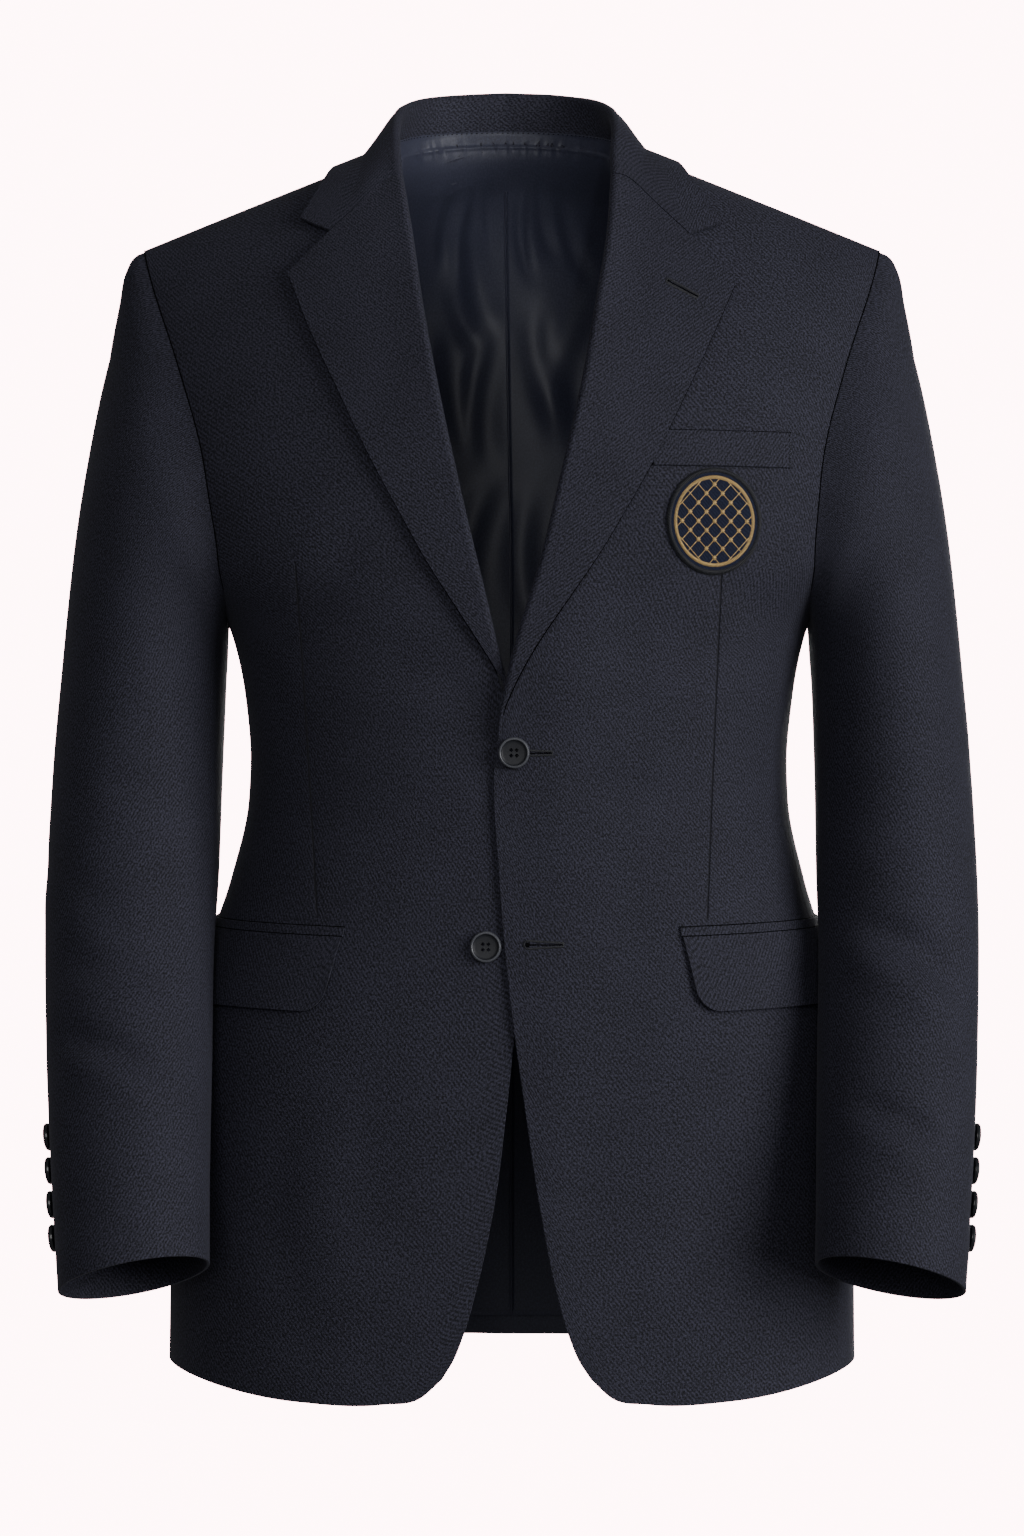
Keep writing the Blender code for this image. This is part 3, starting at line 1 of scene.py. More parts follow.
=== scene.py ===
# %% [markdown]
# # A navy blazer with nobody in it
#
# A tailored jacket keeps much of its shape by itself. Canvas, pads and pressed seams hold the chest
# and the shoulders, and the sleeves hang from them as soft tubes. This lesson dresses the plain
# solids of such a jacket: each piece that a tailor cuts becomes a thin wall of cloth on the same
# form, with finer folds, real edges, seams, thread and buttons. Everything is in metres. The wearer
# faces -Y and +X is the wearer's left.

# %% Load the solids
import math
from functools import partial

import bmesh
import bpy
import numpy as np
from mathutils import Matrix, Vector


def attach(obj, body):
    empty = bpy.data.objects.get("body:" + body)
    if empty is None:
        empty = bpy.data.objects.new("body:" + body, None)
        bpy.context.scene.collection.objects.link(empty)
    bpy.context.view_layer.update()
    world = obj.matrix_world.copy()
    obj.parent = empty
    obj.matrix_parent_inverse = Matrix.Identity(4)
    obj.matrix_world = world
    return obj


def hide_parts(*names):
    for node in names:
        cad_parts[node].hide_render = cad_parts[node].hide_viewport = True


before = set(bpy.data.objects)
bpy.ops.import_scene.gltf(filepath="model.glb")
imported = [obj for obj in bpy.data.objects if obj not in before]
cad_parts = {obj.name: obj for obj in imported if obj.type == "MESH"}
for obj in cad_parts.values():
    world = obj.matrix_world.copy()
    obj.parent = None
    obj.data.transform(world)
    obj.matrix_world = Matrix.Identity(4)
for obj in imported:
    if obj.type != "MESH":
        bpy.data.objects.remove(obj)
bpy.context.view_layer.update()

# %% [markdown]
# ## Camera, light and backdrop
#
# The picture looks straight at the chest from a little over three metres with a long lens, so the
# shoulders aren't distorted. A large soft light stands in front on the right, a weaker one on the
# left and one behind, and a pale sweep runs under and all round the jacket.

# %% Camera, lights, sweep
scene = bpy.context.scene
PICTURE_HEIGHT, FOCAL_PIXELS, SENSOR_WIDTH = 1536, 5088, 36
CAMERA_PLACE = (0, -3.2, -0.386)
LIGHTS = (  # name, place, aim, size, power
    ("key", (4.9, -3.3, 0.7), (0.0, 0.0, -0.45), 3.2, 310),
    ("front", (-0.5, -4.4, 0.8), (0.0, 0.0, -0.55), 2.2, 52),
    ("back", (0.6, 4.8, 0.0), (0.0, 0.0, -0.40), 3.0, 230),
)
NECK_SPOT = {"energy": 105, "spot_size": math.radians(3.8), "spot_blend": 1.0,
             "shadow_soft_size": 0.06}
NECK_SPOT_PLACE, NECK_SPOT_AIM = (0.16, -2.2, -0.20), (-0.030, 0.07, -0.032)
WORLD_LIGHT = {"color": (1.0, 0.985, 0.985, 1), "strength": 0.15}
FLOOR, WALL_TOP, FLOOR_RADIUS, SWEEP_ROUND = -1.45, 7.0, 6.0, 1.2
SWEEP_STEPS, CORNER_STEPS = 72, 12
PAPER = {"base_color": (0.04, 0.03, 0.03, 1), "roughness": 1.0, "specular_ior_level": 0.0,
         "emission_color": (1.0, 0.67, 0.71, 1), "emission_strength": 14.0}


def put(name, data):
    """New object in the scene for a mesh, a curve, a camera or a light."""
    made = bpy.data.objects.new(name, data)
    scene.collection.objects.link(made)
    return made


def add_light(name, kind, place, aim, **settings):
    """Light that stands at one place and points at another."""
    data = bpy.data.lights.new(name, kind)
    for key, value in settings.items():
        setattr(data, key, value)
    light = put(name, data)
    light.location = place
    light.rotation_euler = (Vector(aim) - Vector(place)).to_track_quat("-Z", "Y").to_euler()
    return light


def set_sockets(node, constants):
    """Set a node's inputs, which are named here in small letters with underscores."""
    for words, value in constants.items():
        node.inputs[words.replace("_", " ").title().replace("Ior", "IOR")].default_value = value


def spun(profile, steps):
    """Surface turned round Z from a profile of (radius, height) places."""
    bm = bmesh.new()
    line = [bm.verts.new((radius, 0, height)) for radius, height in profile]
    edges = [bm.edges.new(pair) for pair in zip(line, line[1:])]
    bmesh.ops.spin(bm, geom=line + edges, cent=(0, 0, 0), axis=(0, 0, 1), dvec=(0, 0, 0),
                   angle=2 * math.pi, steps=steps, use_merge=True)
    return bm


def as_mesh(bm, name):
    mesh = bpy.data.meshes.new(name)
    bm.to_mesh(mesh)
    bm.free()
    return mesh


camera = put("camera", bpy.data.cameras.new("camera"))
camera.data.sensor_width = SENSOR_WIDTH
camera.data.lens = FOCAL_PIXELS / PICTURE_HEIGHT * SENSOR_WIDTH
camera.location = CAMERA_PLACE
camera.rotation_euler = (math.pi / 2, 0, 0)
scene.camera = camera

for name, place, aim, size, power in LIGHTS:
    lamp = add_light(name, "AREA", place, aim, shape="SQUARE", size=size, energy=power)
    lamp.visible_camera = False
# A small spot is aimed into the neck, so that it only reaches the satin there.
add_light("neck", "SPOT", NECK_SPOT_PLACE, NECK_SPOT_AIM, **NECK_SPOT)
scene.world = bpy.data.worlds.new("studio")
scene.world.use_nodes = True
set_sockets(scene.world.node_tree.nodes["Background"], WORLD_LIGHT)

# The sweep is round: a floor, a quarter circle and a wall that runs all round the jacket.
side_view = [(0.001, FLOOR)]
side_view += [(FLOOR_RADIUS + SWEEP_ROUND * math.sin(a), FLOOR + SWEEP_ROUND * (1 - math.cos(a)))
              for a in np.radians(np.linspace(0, 90, CORNER_STEPS + 1))]
side_view.append((FLOOR_RADIUS + SWEEP_ROUND, WALL_TOP))
sweep = put("sweep", as_mesh(spun(side_view, SWEEP_STEPS), "sweep"))
sweep.data.shade_smooth()
paper = bpy.data.materials.new("paper")
paper.use_nodes = True
set_sockets(paper.node_tree.nodes["Principled BSDF"], PAPER)
sweep.data.materials.append(paper)
# The lit paper is only looked at: it sends no light of its own onto the cloth.
sweep.visible_diffuse = sweep.visible_glossy = sweep.visible_shadow = False
print("camera, lights and sweep")

# %% [markdown]
# ## The jacket's sizes
#
# These are the same named sizes that the solids were made from, so the cloth lies on them. The body
# is a table of rings: a half width and two depths at each height. Edges such as the lapel's are
# short lists of places seen from the front.

# %% Sizes and tables
SIDES = ((1, "left"), (-1, "right"))
WOOL_WALL = 0.0018
TURNED_WALL = 0.0020
LINING_WALL = 0.0010
TRIM_WALL = 0.0012
SEAM_GAP = 0.0001  # pieces that are sewn together almost touch
LYING_GAP = 0.0005  # a flap lies this far over the front

BUST_HEIGHT = -0.330
NECK_CENTRE = -0.004
NECK_HALF_WIDTH = 0.078
NECK_DEPTH = 0.070
NECK_RISE = 0.020
SHOULDER_SLOPE = 0.41
SHOULDER_TIP = 0.231
NECK_LINE = 0.080
SHOULDER_ROUND = 0.030
FRONT_DOME = (0.22, 1.6)
BACK_DOME = (0.16, 2.2)
RIDGE_FADE = 0.012
HEM = -0.755
FRONT_DROP = 0.016

SEAM_ROWS = 13
ARM_STEP = 15
SIDE_START, SIDE_END = 165, 210
SLEEVE_FRONT_SEAM = 150
SLEEVE_BACK_SEAM = 300
CUFF_BACK_SEAM = 337

OVERLAP_LIFT = 0.0032
OVERLAP_REACH = (0.020, 0.080)
OVERLAP_TOP = (-0.26, -0.16)
BUST_LIFT, BUST_REACH = 0.0026, 0.035
VENT_TOP = -0.535
VENT_LAP = 0.038
VENT_SINK = 0.0030
VENT_SINK_ACROSS = (-0.030, -0.004)
VENT_SINK_UP = 0.06
VENT_STEP = 0.012
CENTRE_SHIFT_FROM = -0.30
LINING_HEM = -0.742

ROLL_INSET = 0.0047
ROLL_INSET_TOP = 0.0012
ROLL_RADIUS = 0.0025
BREAK_RADIUS = 0.0014
BREAK_HEIGHT = 0.0022
BREAK_REACH = 0.15
CURL_BLEND = 0.004
LEAF_HEIGHT = 0.0037
LEAF_SPRING_REACH = 0.016

BODY_FORM = (  # height, half width, front depth, back depth, lean of the waist towards +X
    (-0.790, 0.2155, 0.1350, 0.1250, 0.0000),
    (-0.755, 0.2150, 0.1345, 0.1240, 0.0000),
    (-0.650, 0.2135, 0.1330, 0.1190, 0.0005),
    (-0.570, 0.2095, 0.1320, 0.1120, 0.0015),
    (-0.507, 0.1965, 0.1310, 0.1060, 0.0025),
    (-0.456, 0.1800, 0.1300, 0.1010, 0.0034),
    (-0.406, 0.1692, 0.1300, 0.0990, 0.0040),
    (-0.381, 0.1682, 0.1305, 0.1000, 0.0042),
    (-0.343, 0.1714, 0.1310, 0.1040, 0.0044),
    (-0.300, 0.1806, 0.1310, 0.1110, 0.0040),
    (-0.260, 0.2080, 0.1305, 0.1170, 0.0028),
    (-0.200, 0.2270, 0.1290, 0.1210, 0.0008),
    (-0.120, 0.2360, 0.1230, 0.1210, 0.0000),
    (-0.050, 0.2400, 0.1130, 0.1150, 0.0000),
    (0.070, 0.2400, 0.1000, 0.1080, 0.0000),
)
ARMHOLE = (  # angle from the shoulder tip over the front, distance from the middle, height
    (0, 0.2310, -0.0604),
    (45, 0.2060, -0.1390),
    (90, 0.1885, -0.2090),
    (135, 0.1815, -0.2730),
    (180, None, -0.2960),
    (225, 0.1850, -0.2680),
    (270, 0.1960, -0.2000),
    (315, 0.2150, -0.1240),
    (360, 0.2310, -0.0604),
)
SLEEVE_FORM = (  # inner x, inner z, outer x, outer z, middle y, half depth
    (0.1815, -0.2960, 0.2310, -0.0604, -0.002, 0.0770),
    (0.1824, -0.3100, 0.2535, -0.1300, -0.002, 0.0828),
    (0.1828, -0.3180, 0.2650, -0.1850, -0.003, 0.0800),
    (0.1834, -0.3300, 0.2745, -0.2500, -0.006, 0.0755),
    (0.1842, -0.3600, 0.2812, -0.3200, -0.013, 0.0700),
    (0.1850, -0.4100, 0.2862, -0.3900, -0.027, 0.0640),
    (0.1852, -0.4750, 0.2885, -0.4700, -0.050, 0.0585),
    (0.1849, -0.5550, 0.2850, -0.5600, -0.084, 0.0530),
    (0.1842, -0.6300, 0.2795, -0.6400, -0.109, 0.0480),
    (0.1828, -0.6850, 0.2742, -0.7030, -0.127, 0.0445),
)
SLEEVE_HEAD = (  # share of the sleeve's length, roll of its head beyond the tube
    (0.000, 0.0000),
    (0.004, 0.0048),
    (0.011, 0.0072),
    (0.024, 0.0078),
    (0.055, 0.0046),
    (0.110, 0.0000),
)
SLEEVE_HEAD_REACH = 52
CUFF_RISE, CUFF_RISE_FROM = 0.0140, 0.72
# These places are seen from the front, as (across, height): side 1 is the wearer's left.
FRONT_EDGE = {  # from the hem up; the left front lies on top
    1: ((0.0476, -0.7547), (0.0398, -0.7426), (0.0349, -0.7306), (0.0262, -0.7000),
        (0.0170, -0.6530), (0.0075, -0.5900), (-0.0012, -0.5258), (-0.0078, -0.4535),
        (-0.0090, -0.3700)),
    -1: ((-0.0422, -0.7547), (-0.0349, -0.7426), (-0.0301, -0.7306), (-0.0210, -0.6990),
         (-0.0098, -0.6450), (-0.0035, -0.5950), (0.0015, -0.5480), (0.0070, -0.4655),
         (0.0085, -0.3850), (0.0040, -0.3500)),
}
ROLL = {  # the fold where the lapel turns out; the left one starts with a narrow tail
    1: ((-0.0090, -0.3665), (-0.0073, -0.3490), (-0.0042, -0.3345), (0.0012, -0.3118),
        (0.0157, -0.2639), (0.0279, -0.2134), (0.0402, -0.1593), (0.0510, -0.0990),
        (0.0577, -0.0574), (0.0608, -0.0190)),
    -1: ((-0.0020, -0.3365), (-0.0048, -0.3265), (-0.0163, -0.2785), (-0.0285, -0.2278),
         (-0.0408, -0.1718), (-0.0545, -0.0986), (-0.0598, -0.0624), (-0.0671, -0.0190)),
}
LAPEL_EDGE = {  # outer edge, from the bottom of the roll up to the lapel's point
    1: ((-0.0081, -0.3665), (-0.0045, -0.3500), (-0.0007, -0.3410), (0.0030, -0.3330),
        (0.0080, -0.3235), (0.0156, -0.3105), (0.0325, -0.2855), (0.0509, -0.2585),
        (0.0699, -0.2270), (0.0845, -0.2010), (0.0925, -0.1848), (0.1110, -0.1460),
        (0.1285, -0.1075), (0.1372, -0.0875)),
    -1: ((-0.0085, -0.3290), (-0.0125, -0.3215), (-0.0195, -0.3105), (-0.0316, -0.2915),
         (-0.0505, -0.2620), (-0.0672, -0.2318), (-0.0861, -0.1965), (-0.1035, -0.1600),
         (-0.1215, -0.1215), (-0.1372, -0.0825)),
}
GORGE = {  # seam between lapel and collar, from the roll to the notch
    1: ((0.0625, -0.0185), (0.0710, -0.0245), (0.0880, -0.0400), (0.1085, -0.0585)),
    -1: ((-0.0690, -0.0160), (-0.0750, -0.0215), (-0.0950, -0.0405), (-0.1115, -0.0560)),
}
COLLAR_POINT = {1: (0.1290, -0.0500), -1: (-0.1305, -0.0470)}
TAIL_INSET, TAIL_REACH = 0.0006, 0.14
COLLAR_FOLD = (  # from the centre back forwards: across from the neck's middle, depth, height
    (0.0000, 0.0780, 0.0480),
    (0.0350, 0.0700, 0.0455),
    (0.0570, 0.0460, 0.0390),
    (0.0662, 0.0180, 0.0290),
    (0.0676, -0.0100, 0.0120),
    (0.0655, -0.0270, -0.0050),
)
COLLAR_EDGE_HALF_WIDTH = 0.107
COLLAR_EDGE_DEPTH = 0.085
COLLAR_EDGE_POWER = 1.5
COLLAR_SHOULDER_DROP = 0.004
COLLAR_BULGE = 0.0030
COLLAR_BLEND = 0.20

FLAP_LENGTH, FLAP_HEIGHT, FLAP_CORNER = 0.155, 0.0455, 0.013
FLAP_START = 0.1030
FLAP_TOP = -0.4885
FLAP_RISE = 0.0045
FLAP_SLANT = 0.0050
JET_HEIGHT = 0.0056
WELT_START, WELT_END, WELT_TOP, WELT_HEIGHT = 0.0850, 0.1706, -0.1814, 0.0215
PATCH_CENTRE, PATCH_HALF = (0.1223, -0.2364), (0.0285, 0.0320)
FRONT_BUTTONS = (("front_button_1", 1, 0.0012, -0.3768), ("front_button_2", -1, -0.0158, -0.4940))
FRONT_BUTTON_RADIUS, CUFF_BUTTON_RADIUS = 0.0095, 0.0085
CUFF_BUTTON_PITCH = 0.0198
CUFF_BUTTON_LAST = 0.034
CUFF_BUTTON_ANGLE = 349
print("tables:", len(BODY_FORM), "body rings,", len(SLEEVE_FORM), "sleeve rings")

# %% [markdown]
# ## Curves
#
# A tailor's edge is a smooth curve through a few marks. Two small readers do that here: one reads a
# table at any value without overshoot, the other passes a curve through points and returns places
# at equal shares of its length.

# %% Curves and tables
CURVE_STEPS = 400


def cubic(xs, ys, slopes, at):
    """Smooth line through ys at xs, with the given slopes there, read at other places."""
    k = np.clip(np.searchsorted(xs, at) - 1, 0, len(xs) - 2)
    step = np.diff(xs)[k]
    f = (at - xs[k]) / step
    if ys.ndim > 1:
        f, step = f[..., None], step[..., None]
    rise = (3 - 2 * f) * f**2
    tangents = f * (1 - f) ** 2 * slopes[k] - f**2 * (1 - f) * slopes[k + 1]
    return ys[k] * (1 - rise) + ys[k + 1] * rise + step * tangents


def read_table(rows, at, column):
    """One column of a table read at any value of its first column, without overshoot."""
    table = np.array(rows, float)
    xs, ys = table[np.argsort(table[:, 0])][:, [0, column]].T
    rises = np.diff(ys) / np.diff(xs)
    slopes = np.concatenate([rises[:1], np.zeros(len(xs) - 2), rises[-1:]])
    same = rises[:-1] * rises[1:] > 0
    slopes[1:-1][same] = 2 * (rises[:-1] * rises[1:])[same] / (rises[:-1] + rises[1:])[same]
    return cubic(xs, ys, slopes, np.clip(at, xs[0], xs[-1]))


def curve(points, shares):
    """Points at the given shares of the length of a smooth curve through the given points."""
    points = np.array(points, float)
    knots = np.concatenate([[0], np.cumsum(lengths_of(points))])
    slopes = np.gradient(points, knots, axis=0)
    traced = cubic(knots, points, slopes, np.linspace(0, knots[-1], CURVE_STEPS))
    return share_points(traced, shares)


def lengths_of(points):
    """Lengths of the steps of a line of points."""
    return np.linalg.norm(np.diff(points, axis=0), axis=1)


def lengths_along(points):
    """Share of its length at each point of a line of points."""
    total = np.concatenate([[0], np.cumsum(lengths_of(points))])
    return total / total[-1]


def share_points(points, shares):
    """Points at the given shares of a line of points."""
    at = lengths_along(points)
    return np.stack([np.interp(shares, at, column) for column in points.T], axis=-1)


def unit(vector):
    return vector / np.linalg.norm(vector, axis=-1, keepdims=True)


def ease(value, start, end):
    """0 before start, 1 after end, smooth between."""
    f = np.clip((value - start) / (end - start), 0, 1)
    return f * f * (3 - 2 * f)


print("curve readers ready")

# %% [markdown]
# ## The form under the cloth
#
# A real jacket is pressed over a body form. This one is worked out: "girth" runs from 0 under the
# arm to 1 at the centre front and to -1 at the centre back, and height is the real height. The
# shoulder line is a ridge, and a dome rounds the chest and the back down from it.

# %% Body form
RING_POWER = 2.4
RING_SIZE = (0.20, 0.125)  # a middling ring, by which girth is shared out
PARTING_REACH = 0.3
_turn = np.linspace(0, math.pi / 2, 721)
RING_ACROSS = np.cos(_turn).clip(0) ** (2 / RING_POWER)
RING_DEEP = np.sin(_turn) ** (2 / RING_POWER)
RING_GIRTH = lengths_along(np.stack([RING_ACROSS, RING_DEEP], axis=-1) * RING_SIZE)


def girth_at(across):
    """Girth of a place given as a share of the half width; past the middle it is more than 1."""
    across = np.asarray(across, float)
    girth = np.interp(np.abs(across), RING_ACROSS[::-1], RING_GIRTH[::-1])
    return np.where(across < 0, 2 - girth, girth)


def ridge_height(across):
    """Height of the shoulder line over a distance from the middle."""
    rounded = np.hypot(across, SHOULDER_ROUND) - math.hypot(NECK_LINE, SHOULDER_ROUND)
    inside = np.clip(1 - (np.abs(across) / NECK_LINE) ** 2, 0, 1) ** 2
    return -SHOULDER_SLOPE * rounded + NECK_RISE * inside


def dome(drop, height, power):
    """Depth, as a share, at a drop below the shoulder line."""
    share = np.clip(drop / height, 0, 1)
    return (1 - (1 - share) ** power) ** (1 / power)


def dome_drop(share, height, power):
    """Drop below the shoulder line at a share of the depth."""
    return height * (1 - (1 - share**power) ** (1 / power))


def ring_depth(share):
    """Depth of a ring of the form, as a share, at a share of its half width."""
    return (1 - share**RING_POWER) ** (1 / RING_POWER)


def form_depth(height, behind):
    """Depth of the form's ring at a height, to the front or to the back."""
    return np.where(behind, read_table(BODY_FORM, height, 3), read_table(BODY_FORM, height, 2))


def as_floats(*values):
    return [np.asarray(value, float) for value in values]


def body_point(side, girth, height):
    """Point on the outside of the body, for side +1 (the wearer's left) or -1."""
    girth, height = as_floats(girth, height)
    folded = np.abs(girth)
    past = folded > 1
    folded = np.where(past, 2 - folded, folded)
    across = np.interp(folded, RING_GIRTH, RING_ACROSS) * np.where(past, -1, 1)
    deep = np.interp(folded, RING_GIRTH, RING_DEEP)
    out = read_table(BODY_FORM, height, 1) * across
    drop = ridge_height(out) - height
    front = read_table(BODY_FORM, height, 2) * deep * dome(drop, *FRONT_DOME)
    back = read_table(BODY_FORM, height, 3) * deep * dome(drop, *BACK_DOME)
    parting = 0.5 * SEAM_GAP * ease(folded, 0.0, PARTING_REACH)
    y = np.where(girth < 0, back + parting, -front - parting)
    x = side * out + read_table(BODY_FORM, height, 4)
    return np.stack([x, y, np.broadcast_to(height, x.shape)], axis=-1)


def body_normal(side, girth, height):
    """Outward direction of the body's form."""
    step = 1e-4
    girth, height = as_floats(girth, height)
    round_it = body_point(side, girth + step, height) - body_point(side, girth - step, height)
    here = body_point(side, girth, height)
    normal = unit(-side * np.cross(round_it, here - body_point(side, girth, height - step)))
    normal[..., 1] *= ease(np.abs(here[..., 1]), 0.0, RIDGE_FADE)
    return unit(normal)


def on_form(side, across, height, behind=False):
    """Domain place (girth, height) of a point seen from the front."""
    across, height = as_floats(across, height)
    share = side * (across - read_table(BODY_FORM, height, 4)) / read_table(BODY_FORM, height, 1)
    girth = girth_at(share)
    girth = np.where(behind, -girth, girth)
    return np.stack([girth, np.broadcast_to(height, girth.shape)], axis=-1)


def overlap_lift(across, height):
    """How far the top front stands off where it lies over the other front."""
    near = 1 - ease(across, *OVERLAP_REACH)
    bust = BUST_LIFT * np.exp(-(((height - BUST_HEIGHT) / BUST_REACH) ** 2))
    return near * (OVERLAP_LIFT + bust) * (1 - ease(height, *OVERLAP_TOP))


def vent_sink(side, across, height):
    """How far the under half of the vent lies inside the other half."""
    if side > 0:
        return np.zeros_like(across)
    low = 1 - ease(height, VENT_TOP, VENT_TOP + VENT_SINK_UP)
    return VENT_SINK * ease(across, *VENT_SINK_ACROSS) * low


def cloth_point(side, place, out=0.0):
    """Point of the cloth for domain places, moved out along the form's normal."""
    girth, height = place[..., 0], place[..., 1]
    point = body_point(side, girth, height)
    normal = body_normal(side, girth, height)
    lift = np.zeros_like(girth)
    if side > 0:
        lift = np.where(girth > 0, overlap_lift(point[..., 0], height), 0)
    sink = np.where(girth < 0, vent_sink(side, point[..., 0], height), 0)
    return point + normal * (lift - sink + out)[..., None]


print("shoulder point:", np.round(body_point(1, 0.2, ridge_height(0.2)), 3))

# %% [markdown]
# ## Materials
#
# Shader maths reads like arithmetic here. A small class wraps a node's socket, so that an
# expression on values adds its own Math nodes, and add() makes any other node. What varies over
# the cloth goes only to colour, roughness and normal, and constants sit on the shader itself.

# %% Shader helper


class Wire:
    """A number from a shader's node that takes part in Python arithmetic."""

    def __init__(self, look, socket):
        self.look, self.socket = look, socket

    def maths(self, operation, *values):
        settings = {"operation": operation}
        return self.look.add("ShaderNodeMath", settings, dict(enumerate(values)))

    def __add__(self, other):
        return self.maths("ADD", self, other)

    def __sub__(self, other):
        return self.maths("SUBTRACT", self, other)

    def __rsub__(self, other):
        return self.maths("SUBTRACT", other, self)

    def __mul__(self, other):
        return self.maths("MULTIPLY", self, other)

    __radd__ = __add__
    __rmul__ = __mul__

    def sine(self):
        return self.maths("SINE", self)

    def absolute(self):
        return self.maths("ABSOLUTE", self)


class Look:
    """A material with a Principled shader, and short ways to add nodes to it."""

    def __init__(self, name, **constants):
        self.material = bpy.data.materials.new(name)
        self.material.use_nodes = True
        self.tree = self.material.node_tree
        self.shader = self.tree.nodes["Principled BSDF"]
        set_sockets(self.shader, constants)

    def add(self, kind, settings=None, values=None, out=0):
        node = self.tree.nodes.new(kind)
        for key, value in (settings or {}).items():
            setattr(node, key, value)
        for key, value in (values or {}).items():
            if isinstance(value, Wire):
                self.tree.links.new(value.socket, node.inputs[key])
            else:
                node.inputs[key].default_value = value
        return Wire(self, node.outputs[out])

    def to(self, socket, wire):
        self.tree.links.new(wire.socket, self.shader.inputs[socket])

    def part(self, vector, axis):
        return self.add("ShaderNodeSeparateXYZ", None, {0: vector}, out=axis)

    def noise(self, vector, scale, detail):
        values = {"Vector": vector, "Scale": scale, "Detail": detail}
        return self.add("ShaderNodeTexNoise", {"noise_dimensions": "2D"}, values)

    def smooth(self, value, low, high):
        values = {0: value, 1: low, 2: high, 3: 0.0, 4: 1.0}
        return self.add("ShaderNodeMapRange", {"interpolation_type": "SMOOTHSTEP"}, values)


def plain_looks(*rows):
    """Materials of one colour, from rows of a name, a colour, a roughness and further constants."""
    return [Look(name, base_color=colour, roughness=roughness, **more).material
            for name, colour, roughness, more in rows]


print("shader helper ready")

# %% [markdown]
# ## Wool
#
# The cloth is a worsted twill: soft diagonal ribs, two and a half millimetres apart, in a dark navy
# yarn that was spun from fibres of slightly different blues. The ribs and the mottling are drawn in
# the cloth's own coordinates, in metres, so they turn with each piece as real grain does.

# %% Wool twill
YARN_SCALE, CLOUD_SCALE = 820.0, 28.0
FIBRE_SCALE = (1500.0, 420.0)  # across, along
TONE_RANGE = (0.40, 0.81)
SHEEN_TINT = (0.75, 0.76, 0.88, 1)
DART_GROOVE, DART_PULL = 0.0009, 0.006


def woven_look(name, dark, light, rib, slope, roughness, sheen, relief, darts=(), gloss=0.25):
    """Woven cloth between two tones; darts are lines (x, z) to (x, z) where it is pinched in, with
    painted shade darkening the colour in their grooves.
    """
    look = Look(name, roughness=roughness, sheen_weight=sheen, sheen_roughness=0.45,
                specular_ior_level=gloss, sheen_tint=SHEEN_TINT)
    cloth = look.add("ShaderNodeUVMap", {"uv_map": "cloth"})
    across, along = look.part(cloth, 0), look.part(cloth, 1)
    ribs = ((across + along * slope) * (2 * math.pi / rib)).sine() * 0.5 + 0.5
    yarn = look.noise(cloth, YARN_SCALE, 2.0)
    streak = {0: across * FIBRE_SCALE[0], 1: along * FIBRE_SCALE[1]}
    fibre = look.noise(look.add("ShaderNodeCombineXYZ", None, streak), 1.0, 1.0)
    cloud = look.noise(cloth, CLOUD_SCALE, 3.0)
    tone = ribs * 0.13 + yarn * 0.66 + fibre * 0.37 + (cloud - 0.5) * 0.07
    shade = look.smooth(tone, *TONE_RANGE)
    height = ribs * 0.25 + yarn * 0.6
    body = look.add("ShaderNodeTexCoord", out=3)
    x, z = look.part(body, 0), look.part(body, 2)
    for (x0, z0), (x1, z1) in darts:
        line = (z - z0) * ((x1 - x0) / (z1 - z0)) + x0
        middle, reach = (z0 + z1) / 2, abs(z1 - z0) / 2
        inside = 1.0 - look.smooth((z - middle).absolute(), reach - DART_PULL, reach)
        far = (x - line).absolute()
        groove = (1.0 - look.smooth(far, 0.0, DART_GROOVE)) * inside
        pull = (1.0 - look.smooth(far, 0.0, DART_PULL)) * inside
        height = height - groove * 5.0 - pull * 1.2
        # Painted shade: the colour darkens along the dart's groove.
        shade = shade * (1.0 - groove * 0.9)
    colours = {0: shade, 6: dark, 7: light}
    look.to("Base Color", look.add("ShaderNodeMix", {"data_type": "RGBA"}, colours, out=2))
    look.to("Roughness", roughness + (yarn - 0.5) * 0.12)
    bump = {"Height": height, "Distance": relief, "Strength": 1.0}
    look.to("Normal", look.add("ShaderNodeBump", None, bump))
    return look.material


WOOL_TONES = ((0.0052, 0.0052, 0.0085, 1), (0.0410, 0.0410, 0.0645, 1))
TWILL = (0.0025, -0.75, 0.82, 0.05, 0.00017)  # rib, slope, roughness, sheen, relief
WOOL = woven_look("wool", *WOOL_TONES, *TWILL)
DARTS = {1: ((0.1275, -0.2620), (0.1184, -0.4813)), -1: ((-0.1318, -0.2597), (-0.1184, -0.4783))}
FRONT_WOOL = {side: woven_look(f"wool_front_{word}", *WOOL_TONES, *TWILL, [DARTS[side]])
              for side, word in SIDES}
SATIN = woven_look("satin", (0.024, 0.026, 0.044, 1), (0.040, 0.043, 0.070, 1),
                   0.0006, 0.15, 0.48, 0.10, 0.00003, gloss=0.35)
FELT = woven_look("felt", (0.006, 0.008, 0.020, 1), (0.014, 0.018, 0.042, 1),
                  0.0023, 0.9, 0.95, 0.15, 0.00030)
print("woven materials ready")

# %% [markdown]
# ## A wall of cloth
#
# Real cloth has a face, a back and an edge. A grid is pulled into the piece's shape, its faces are
# extruded into a second layer that becomes the back, and a small bevel rounds the turned edge. The
# grid also carries its own flat coordinates in metres, for the weave.

# %% Cloth wall
EDGE_ANGLE = 50


